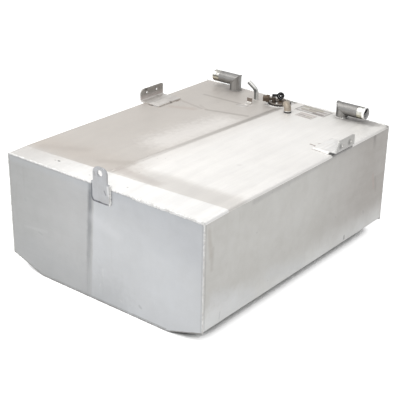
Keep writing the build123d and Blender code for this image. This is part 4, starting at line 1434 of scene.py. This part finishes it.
    def _lug_seam(self) -> None:
        """The uneven bead round the lug's foot, with its lumps at the steps."""
        low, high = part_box("front_lug")
        step, y = TOP_Z + self.lug_step, high.y
        turn = (low.x + self.lug_corner, y, low.z + self.lug_step)
        left = [(low.x, y, step), (low.x, y, low.z + 0.012), turn]
        foot = [turn, (low.x + 0.03, y, low.z - 0.001), (high.x - 0.008, y, low.z + 0.001)]
        y -= self.path_inset
        right = [(high.x - 0.002, y, low.z + 0.001), (high.x + 0.0012, y, low.z + 0.010),
                 (high.x + 0.0016, y, step + self.lug_step)]
        beads = (("left", left, 0.0022, SOOTY_WELD), ("foot", foot, 0.0021, SOOTY_WELD),
                 ("right", right, 0.0034, SIDE_WELD))
        for seed, (side, points, radius, finish) in enumerate(beads, self.lug_seed):
            self._lay(f"lug_{side}_seam", points, seed, radius, finish, "lug_plate", uneven=0.4)

    def _bracket_seams(self) -> None:
        """Short beads along the front and rear edges of both bracket bases."""
        for node, side, seed, finish in (
                ("right_bracket", 1, self.right_bracket_seed, BRIGHT_WELD),
                ("left_bracket", -1, self.left_bracket_seed, SOOTY_WELD)):
            low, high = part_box(node)
            inner = low.x if side > 0 else high.x
            z = low.z + self.bracket_lift
            runs = (("front", low.y, self.bracket_run), ("rear", high.y, self.bracket_run),
                    ("rear_outer", high.y, self.bracket_outer_run))
            for number, (place, y, run) in enumerate(runs):
                points = [(inner + side * reach, y, z) for reach in run]
                self._lay(f"{node}_{place}_seam", points, seed + number, self.bracket_bead,
                          finish, "bracket_sheet")


@dataclass
class Fixings:
    """The hold-down lug, both angle brackets and the bonding tab."""

    shop: Workshop
    lug_edge: float = 0.0011
    bracket_edge: float = 0.0008
    tab_edge: float = 0.0004

    def build(self) -> None:
        """Makes each fixing with rounded sheared edges."""
        link_softened(self.shop, "formed", (
            ("front_lug", LUG_FINISH, "lug_plate", self.lug_edge),
            ("right_bracket", PALE_BRACKET, "bracket_sheet", self.bracket_edge),
            ("left_bracket", SHADED_BRACKET, "bracket_sheet", self.bracket_edge),
            ("ground_tab", TAB_FINISH, "stained_tab", self.tab_edge)))


@dataclass
class Fillers:
    """Both filler necks, with their turned hose ends, and the vent."""

    shop: Workshop
    outer: float = 0.0205
    bore: float = 0.01745
    groove: float = 0.0006
    lip: float = 0.0012
    lip_fall: float = 0.4
    groove_fall: float = 0.4
    rim_step: float = 0.0003
    mouth_step: float = 0.0010
    sleeve_start: float = 0.0004
    skin: float = 0.0002
    start_groove: tuple[float, float] = (0.0016, 0.0022)
    hose_groove: tuple[float, float, float] = (0.52, 0.55, 0.58)

    def _hose_end(self, filler: Filler) -> None:
        """A turned hose end with a shallow groove at its start and a rolled lip.

        Args:
            filler: The filler neck that it belongs to.
        """
        node = f"{filler.name}_hose_end"
        low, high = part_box(node)
        length = high.x - low.x
        start = (low.x if filler.side > 0 else high.x, (low.y + high.y) / 2, (low.z + high.z) / 2)
        neck = self.outer - self.groove
        rolled = self.outer - self.lip * self.lip_fall
        foot, step = self.start_groove
        fall, base, rise = (length * share for share in self.hose_groove)
        shallow = self.outer - self.groove * self.groove_fall
        profile = [(self.bore, 0.0), (neck, 0.0), (neck, foot), (self.outer, step),
                   (self.outer, fall), (shallow, base), (self.outer, rise),
                   (self.outer, length - self.lip), (rolled, length - self.rim_step),
                   (self.bore, length - self.mouth_step)]
        link(f"{node}_turned", lathe(profile, start, filler.side, node),
             self.shop.material(filler.turned()), "turned_end", node)
        # A pale lining inside the bore carries the painted light and shade of its mouth.
        inner = self.bore - self.skin
        sleeve = [(inner, self.sleeve_start), (self.bore, self.sleeve_start),
                  (self.bore, length - self.lip), (rolled, length - self.skin),
                  (self.outer - self.lip, length), (inner, length)]
        link(f"{node}_bore", lathe(sleeve, start, filler.side, node),
             self.shop.material(filler.bore_skin()), "turned_end")

    def build(self) -> None:
        """Dresses the pipes and makes the hose ends."""
        for filler in FILLERS:
            dress_all(self.shop, {f"{filler.name}_riser": filler.riser(),
                                  f"{filler.name}_spout": filler.pipe()})
            self._hose_end(filler)
        dress_all(self.shop, {"vent_tube": VENT_FINISH})


@dataclass
class GaugeSender:
    """The fuel gauge sender: ring, flange, screws, studs, boots, lead and swinging float."""

    shop: Workshop
    patterns: Patterns
    screw_count: int = 5
    screw_circle: float = 0.028
    start_angle: float = 68.0
    head_radius: float = 0.0045
    head_height: float = 0.003
    head_fall: float = 0.45
    head_rings: int = 14
    head_sides: int = 48
    shank_radius: float = 0.0024
    shank_length: float = 0.008
    recess: float = 0.0012
    recess_half: float = 0.00055
    recess_reach: float = 0.62
    strand: float = 0.0030
    inner_strand: float = 0.0026
    inner_share: float = 0.42
    lead_drop: float = 0.0042
    lead_angle: float = 38.3
    loop: float = 0.0104
    loop_offset: float = 0.0024
    loop_reach: float = 0.0255
    loop_gap: float = 0.0004
    loop_start: float = 160
    loop_sweep: float = 520
    loop_steps: int = 34
    inner_skip: int = 3
    inner_end: float = 0.92
    sleeve: float = 0.0050
    sleeve_places: tuple[float, ...] = (0.001, 0.007, 0.0135)
    lead_exit: tuple[float, float] = (0.002, 0.007)
    exit_rise: float = 0.0006
    landing_rise: float = 0.0012
    landing_share: float = 0.3
    ring_edge: float = 0.0007
    flange_edge: float = 0.0006

    def _screw(self) -> Mesh:
        """A pan-head screw with a cross recess, standing at the origin.

        Returns:
            The mesh.
        """
        shape = bmesh.new()
        turns = around(self.head_sides)
        rows = []
        for ring in range(1, self.head_rings + 1):
            radius = self.head_radius * ring / self.head_rings
            share = radius / self.head_radius
            dome = self.head_height * (1 - self.head_fall * share ** 4)
            row = []
            for cosine, sine in turns:
                x, y = radius * cosine, radius * sine
                arm = (min(abs(x), abs(y)) < self.recess_half
                       and radius < self.head_radius * self.recess_reach)
                row.append(shape.verts.new((x, y, dome - (self.recess if arm else 0.0))))
            rows.append(row)
        hub = shape.verts.new((0, 0, self.head_height - self.recess))
        base = [shape.verts.new((v.co.x, v.co.y, 0)) for v in rows[-1]]
        scale = self.shank_radius / self.head_radius
        neck = [shape.verts.new((v.co.x * scale, v.co.y * scale, 0)) for v in base]
        tip = [shape.verts.new((v.co.x, v.co.y, -self.shank_length)) for v in neck]
        rows += [base, neck, tip]
        for k in range(self.head_sides):
            after = (k + 1) % self.head_sides
            shape.faces.new((hub, rows[0][k], rows[0][after]))
            for first, second in zip(rows, rows[1:]):
                shape.faces.new((first[k], second[k], second[after], first[after]))
        shape.faces.new(tip)
        return mesh_from(shape, "screw", 40.0)

    def _screws(self) -> None:
        """The five screws on the flange."""
        low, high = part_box("sender_flange")
        centre = ((low.x + high.x) / 2, (low.y + high.y) / 2, high.z)
        steel = self.shop.material(SCREW_FINISH)
        mesh = grow("sender_screws_set", self._screw(), self.patterns.screws,
                    Count=self.screw_count, Circle_Radius=self.screw_circle,
                    Start_Angle=math.radians(self.start_angle), Centre=centre, Turn_Seed=4,
                    Material=steel)
        link("sender_screws_set", mesh, steel, "screw_steel", "sender_screws")

    def _lead(self) -> None:
        """The gauge lead: out of the left boot, round its loop, and down to the centre boot."""
        left, right = middle("left_boot"), middle("centre_boot")
        left.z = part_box("left_boot")[1].z - self.lead_drop
        right.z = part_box("centre_boot")[1].z - self.lead_drop
        angle = math.radians(self.lead_angle)
        along = Vector((math.cos(angle), math.sin(angle), 0))
        beside = Vector((along.y, -along.x, 0))
        upward = Vector((0, 0, 1))
        height = self.loop + self.strand + self.loop_gap
        centre = (Vector((left.x, left.y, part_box("sender_flange")[1].z + height))
                  + along * self.loop_reach)

        def ring(share: float, radius: float, drift: float) -> Vector:
            """A place on the loop at a share of its turns, with a radius and a sideways drift."""
            turn = math.radians(self.loop_start) - math.radians(self.loop_sweep) * share
            return (centre + beside * (drift * (share - 0.5))
                    + (along * math.cos(turn) + upward * math.sin(turn)) * radius)

        steps = self.loop_steps
        near, far = self.lead_exit
        outer = [left + along * near, left + along * far + upward * self.exit_rise]
        outer += [ring(step / steps, self.loop, 2 * self.loop_offset) for step in range(steps + 1)]
        outer += [right + upward * self.landing_rise - (right - outer[-1]) * self.landing_share,
                  right]
        inner = [ring(step / steps, self.loop * self.inner_share, self.loop_offset)
                 for step in range(self.inner_skip, steps - self.inner_skip)]
        inner.append(ring(self.inner_end, self.loop, self.loop_offset))
        boot = [left + along * reach for reach in self.sleeve_places]
        shape = bmesh.new()
        for route, radius in ((outer, self.strand), (inner, self.inner_strand),
                              (boot, self.sleeve)):
            hose(shape, self._eased(route), radius)
        link("sender_lead_looped", mesh_from(shape, "sender_lead"),
             self.shop.material(LEAD_FINISH), "black_rubber", "sender_lead")

    @staticmethod
    def _eased(route: Sequence[Vector]) -> list[Vector]:
        """Eases a route.

        Args:
            route: The places that steer it.

        Returns:
            Points along a smooth curve.
        """
        curve = bpy.data.curves.new("lead_route", "CURVE")
        curve.dimensions = "3D"
        spline = curve.splines.new("NURBS")
        spline.points.add(len(route) - 1)
        for place, point in zip(spline.points, route):
            place.co = (*point, 1.0)
        spline.order_u = 3
        spline.use_endpoint_u = True
        return [v.co.copy() for v in plain_mesh(place_object("lead_route", curve)).vertices]

    def build(self) -> None:
        """Makes and dresses every piece of the sender."""
        link_softened(self.shop, "turned", (
            ("sender_ring", RING_FINISH, "ring_plate", self.ring_edge),
            ("sender_flange", FLANGE_FINISH, "stained_flange", self.flange_edge)))
        self._screws()
        self._lead()
        dress_all(self.shop, {
            "sender_gasket": RUBBER_FINISH, "terminal_studs": BRASS_FINISH,
            "left_boot": RUBBER_FINISH, "centre_boot": RUBBER_FINISH,
            "sender_stem": STEEL_FINISH, "sensor_housing": PLASTIC_FINISH,
            "pivot_clip": STEEL_FINISH, "float_arm": STEEL_FINISH, "float": FOAM_FINISH})


@dataclass
class FuelPickup:
    """The pickup elbow with its nut, seat and dip tube, and the outlet fitting."""

    shop: Workshop
    patterns: Patterns
    gauze_rows: int = 15
    gauze_columns: int = 30
    gauze_inset: float = 0.0003
    gauze_foot: float = 0.0055
    gauze_head: float = 0.001
    wire: float = 0.00028
    nut_edge: float = 0.0010
    outlet_edge: float = 0.0008

    def _gauze(self) -> None:
        """Wire gauze round the strainer."""
        low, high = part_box("strainer")
        centre = (low + high) / 2
        radius = (high.x - low.x) / 2 - self.gauze_inset
        bottom, top = low.z + self.gauze_foot, high.z - self.gauze_head
        points, edges = [], []
        for row in range(self.gauze_rows):
            z = bottom + (top - bottom) * row / (self.gauze_rows - 1)
            first = row * self.gauze_columns
            for column, (cosine, sine) in enumerate(around(self.gauze_columns)):
                points.append((centre.x + radius * cosine, centre.y + radius * sine, z))
                here = first + column
                edges.append((here, first + (column + 1) % self.gauze_columns))
                if row:
                    edges.append((here - self.gauze_columns, here))
        mesh = bpy.data.meshes.new("gauze")
        mesh.from_pydata(points, edges, [])
        brass = self.shop.material(GAUZE_FINISH)
        made = grow("strainer_gauze", mesh, self.patterns.gauze, Wire_Radius=self.wire,
                    Material=brass)
        link("strainer_gauze", made, brass, "brass_mesh")

    def build(self) -> None:
        """Makes and dresses the pickup and the outlet."""
        link_softened(self.shop, "formed", (
            ("elbow_nut", HEX_FINISH, "dark_fitting", self.nut_edge),
            ("outlet_fitting", HEX_FINISH, "dark_fitting", self.outlet_edge)))
        self._gauze()
        dress_all(self.shop, {
            "pickup_elbow": CASTING_FINISH, "pickup_grommet": RUBBER_FINISH,
            "pickup_collar": WASHER_FINISH, "dip_tube": TUBE_FINISH,
            "strainer": GAUZE_FINISH, "outlet_port": PORT_FINISH})


@dataclass
class FoilPlates:
    """Two foil plates with plain bars of print."""

    shop: Workshop
    turn: float = math.radians(-3.5)
    film_scale: float = 55.0
    film_share: float = 0.35
    film_tone: float = 0.75
    print_edge: float = 0.0009
    wear_scale: float = 160.0
    wear: tuple[float, float] = (0.45, 0.82)

    def _plate(self, node: str, foil: Colour,
               bars: Sequence[tuple[float, float, float, float, Colour]]) -> None:
        """Dresses one plate.

        Args:
            node: The CAD node.
            foil: Colour of the bare foil.
            bars: Each bar's centre, half size and colour.
        """
        made = bpy.data.materials.new(f"{node}_print")
        graph = Graph.clear(made)
        point = graph.node("ShaderNodeTexCoord").outputs["Object"]
        flat = graph.result("ShaderNodeVectorRotate", {
            "Vector": graph.vector("SUBTRACT", point, tuple(middle(node))), "Angle": -self.turn},
            rotation_type="Z_AXIS")
        film = graph.use(self.shop.effects.cloud_film, Point=point,
                         Scale=self.film_scale).outputs[0]
        colour = graph.mix(graph.times(film, self.film_share), foil,
                           tuple(self.film_tone * channel for channel in foil))
        for x, y, half_x, half_y, shade in bars:
            cover = graph.use(self.shop.effects.bar, Point=flat, Centre=(x, y, 0.0),
                              Half_Size=(half_x, half_y, 1.0), Softness=self.print_edge)
            worn = graph.span(graph.noise(point, self.wear_scale), 0.3, 0.6, *self.wear)
            colour = graph.mix(graph.times(cover.outputs[0], worn), colour, shade)
        graph.show(graph.node("ShaderNodeBsdfPrincipled", {
            "Base Color": colour, "Roughness": graph.span(film, 0.0, 1.0, 0.35, 0.5),
            "Metallic": 0.25}))
        dress(node, made)

    def build(self) -> None:
        """Prints both plates."""
        frame_ink, rose, sand = (0.07, 0.068, 0.06), (0.26, 0.20, 0.19), (0.42, 0.39, 0.29)
        pale, brown = (0.78, 0.755, 0.73), (0.15, 0.11, 0.10)
        self._plate("large_label", pale, (
            (0.0, 0.0, 0.0600, 0.0280, frame_ink), (0.0, 0.0, 0.0564, 0.0246, pale),
            (-0.012, 0.0170, 0.042, 0.0060, sand), (0.014, 0.0050, 0.036, 0.0040, rose),
            (-0.018, -0.0040, 0.032, 0.0042, sand), (0.004, -0.0125, 0.048, 0.0030, rose),
            (0.030, -0.0195, 0.022, 0.0038, brown)))
        self._plate("small_label", (0.70, 0.665, 0.64), (
            (0.0, 0.0125, 0.030, 0.0040, (0.60, 0.52, 0.49)),
            (-0.014, -0.002, 0.014, 0.0022, brown), (0.016, -0.003, 0.012, 0.0030, sand),
            (0.0, -0.014, 0.028, 0.0018, rose)))


@dataclass
class Studio:
    """The floor, the lamps, the world and the camera."""

    camera_place: Point = (1.8144, -2.3254, 1.4912)
    azimuth: float = math.radians(-38.306)
    elevation: float = math.radians(24.187)
    roll: float = math.radians(1.047)
    lens: float = 89.59
    sensor: float = 36.0
    floor_reach: float = 14.0
    floor_rough: float = 0.9
    floor_dark: Colour = (0.08, 0.08, 0.08)
    floor_pale: Colour = (0.82, 0.82, 0.82)
    floor_glow: float = 0.30
    floor_lift: float = 0.45
    world_level: float = 0.65
    contact_reach: float = 0.11
    contact_span: tuple[float, float] = (0.14, 0.345)
    lamps: tuple[tuple, ...] = (
        ("overhead_softbox", (-0.55, -0.75, 2.9), (0.0, 0.0, 0.2), 2.6, 52.0, (1.0, 0.985, 0.96)),
        ("front_fill", (-1.6, -3.0, 1.5), (0.0, 0.0, 0.2), 1.8, 8.0, (0.94, 0.97, 1.0)),
    )

    def _white_ray(self, graph: Graph) -> NodeSocket:
        """One for camera, glossy and transmission rays, and nought for the rest.

        Args:
            graph: The graph that it is added to.

        Returns:
            The socket with that value.
        """
        rays = graph.node("ShaderNodeLightPath").outputs
        seen = graph.math("MAXIMUM", rays["Is Camera Ray"], rays["Is Glossy Ray"])
        return graph.math("MAXIMUM", seen, rays["Is Transmission Ray"])

    def _floor(self) -> None:
        """A plain pale floor that shows white and keeps the tank's shadow."""
        mesh = bpy.data.meshes.new("studio_floor")
        reach = self.floor_reach
        mesh.from_pydata([(-reach, -reach, 0), (reach, -reach, 0), (reach, reach, 0),
                          (-reach, reach, 0)], [], [(0, 1, 2, 3)])
        floor = place_object("studio_floor", mesh)
        made = bpy.data.materials.new("studio_floor_white")
        graph = Graph.clear(made)
        contact = graph.node("ShaderNodeAmbientOcclusion", {"Distance": self.contact_reach},
                             samples=12)
        clear = graph.span(contact.outputs["AO"], *self.contact_span)
        camera_ray = graph.node("ShaderNodeLightPath").outputs["Is Camera Ray"]
        glow = graph.math("MULTIPLY_ADD", camera_ray, self.floor_lift,
                          graph.times(self._white_ray(graph), self.floor_glow))
        graph.show(graph.node("ShaderNodeBsdfPrincipled", {
            "Base Color": graph.mix(clear, self.floor_dark, self.floor_pale),
            "Roughness": self.floor_rough, "Specular IOR Level": 0.0,
            "Emission Color": (1, 1, 1), "Emission Strength": graph.times(glow, clear)}))
        mesh.materials.append(made)

    def _world(self) -> None:
        """A plain pale world that is white where it is seen."""
        world = bpy.data.worlds.new("studio_world")
        graph = Graph.clear(world)
        level = graph.math("MULTIPLY_ADD", self._white_ray(graph), 1.0 - self.world_level,
                           self.world_level)
        graph.show(graph.node("ShaderNodeBackground", {"Strength": level}),
                   "ShaderNodeOutputWorld")
        bpy.context.scene.world = world

    def _camera(self) -> None:
        """The camera where the photograph was taken from."""
        ahead = Vector((math.sin(self.azimuth) * math.cos(self.elevation),
                        math.cos(self.azimuth) * math.cos(self.elevation),
                        -math.sin(self.elevation)))
        level = Vector((math.cos(self.azimuth), -math.sin(self.azimuth), 0.0))
        upright = level.cross(ahead)
        right = level * math.cos(self.roll) + upright * math.sin(self.roll)
        up = upright * math.cos(self.roll) - level * math.sin(self.roll)
        turn = Matrix((right, up, -ahead)).transposed().to_4x4()
        lens = bpy.data.cameras.new("photo_camera")
        lens.lens = self.lens
        lens.sensor_width = self.sensor
        camera = place_object("photo_camera", lens)
        camera.matrix_world = Matrix.Translation(Vector(self.camera_place)) @ turn
        bpy.context.scene.camera = camera

    def _lamp(self, name: str, place: Point, target: Point, size: float, power: float,
              colour: Colour) -> None:
        """A square soft lamp.

        Args:
            name: Its name.
            place: Where it stands.
            target: Where it points.
            size: Length of its sides.
            power: Its power, in watts.
            colour: Its colour.
        """
        light = bpy.data.lights.new(name, "AREA")
        light.size = size
        light.energy = power
        light.color = colour
        aim = (Vector(target) - Vector(place)).to_track_quat("-Z", "Y")
        place_object(name, light).matrix_world = (Matrix.Translation(Vector(place))
                                                  @ aim.to_matrix().to_4x4())

    def build(self) -> None:
        """Sets up the studio."""
        bpy.context.scene.view_settings.view_transform = "Standard"
        self._floor()
        self._world()
        self._camera()
        for lamp in self.lamps:
            self._lamp(*lamp)


def main() -> None:
    """Builds the tank's looks around the frame."""
    shop = Workshop()
    patterns = Patterns()
    assemblies = (
        Studio(), Shell(shop), Seams(shop, patterns), Fixings(shop), Fillers(shop),
        GaugeSender(shop, patterns), FuelPickup(shop, patterns), FoilPlates(shop),
    )
    for assembly in assemblies:
        LOG.info("building %s", type(assembly).__name__)
        assembly.build()


if __name__ == "__main__":
    main()
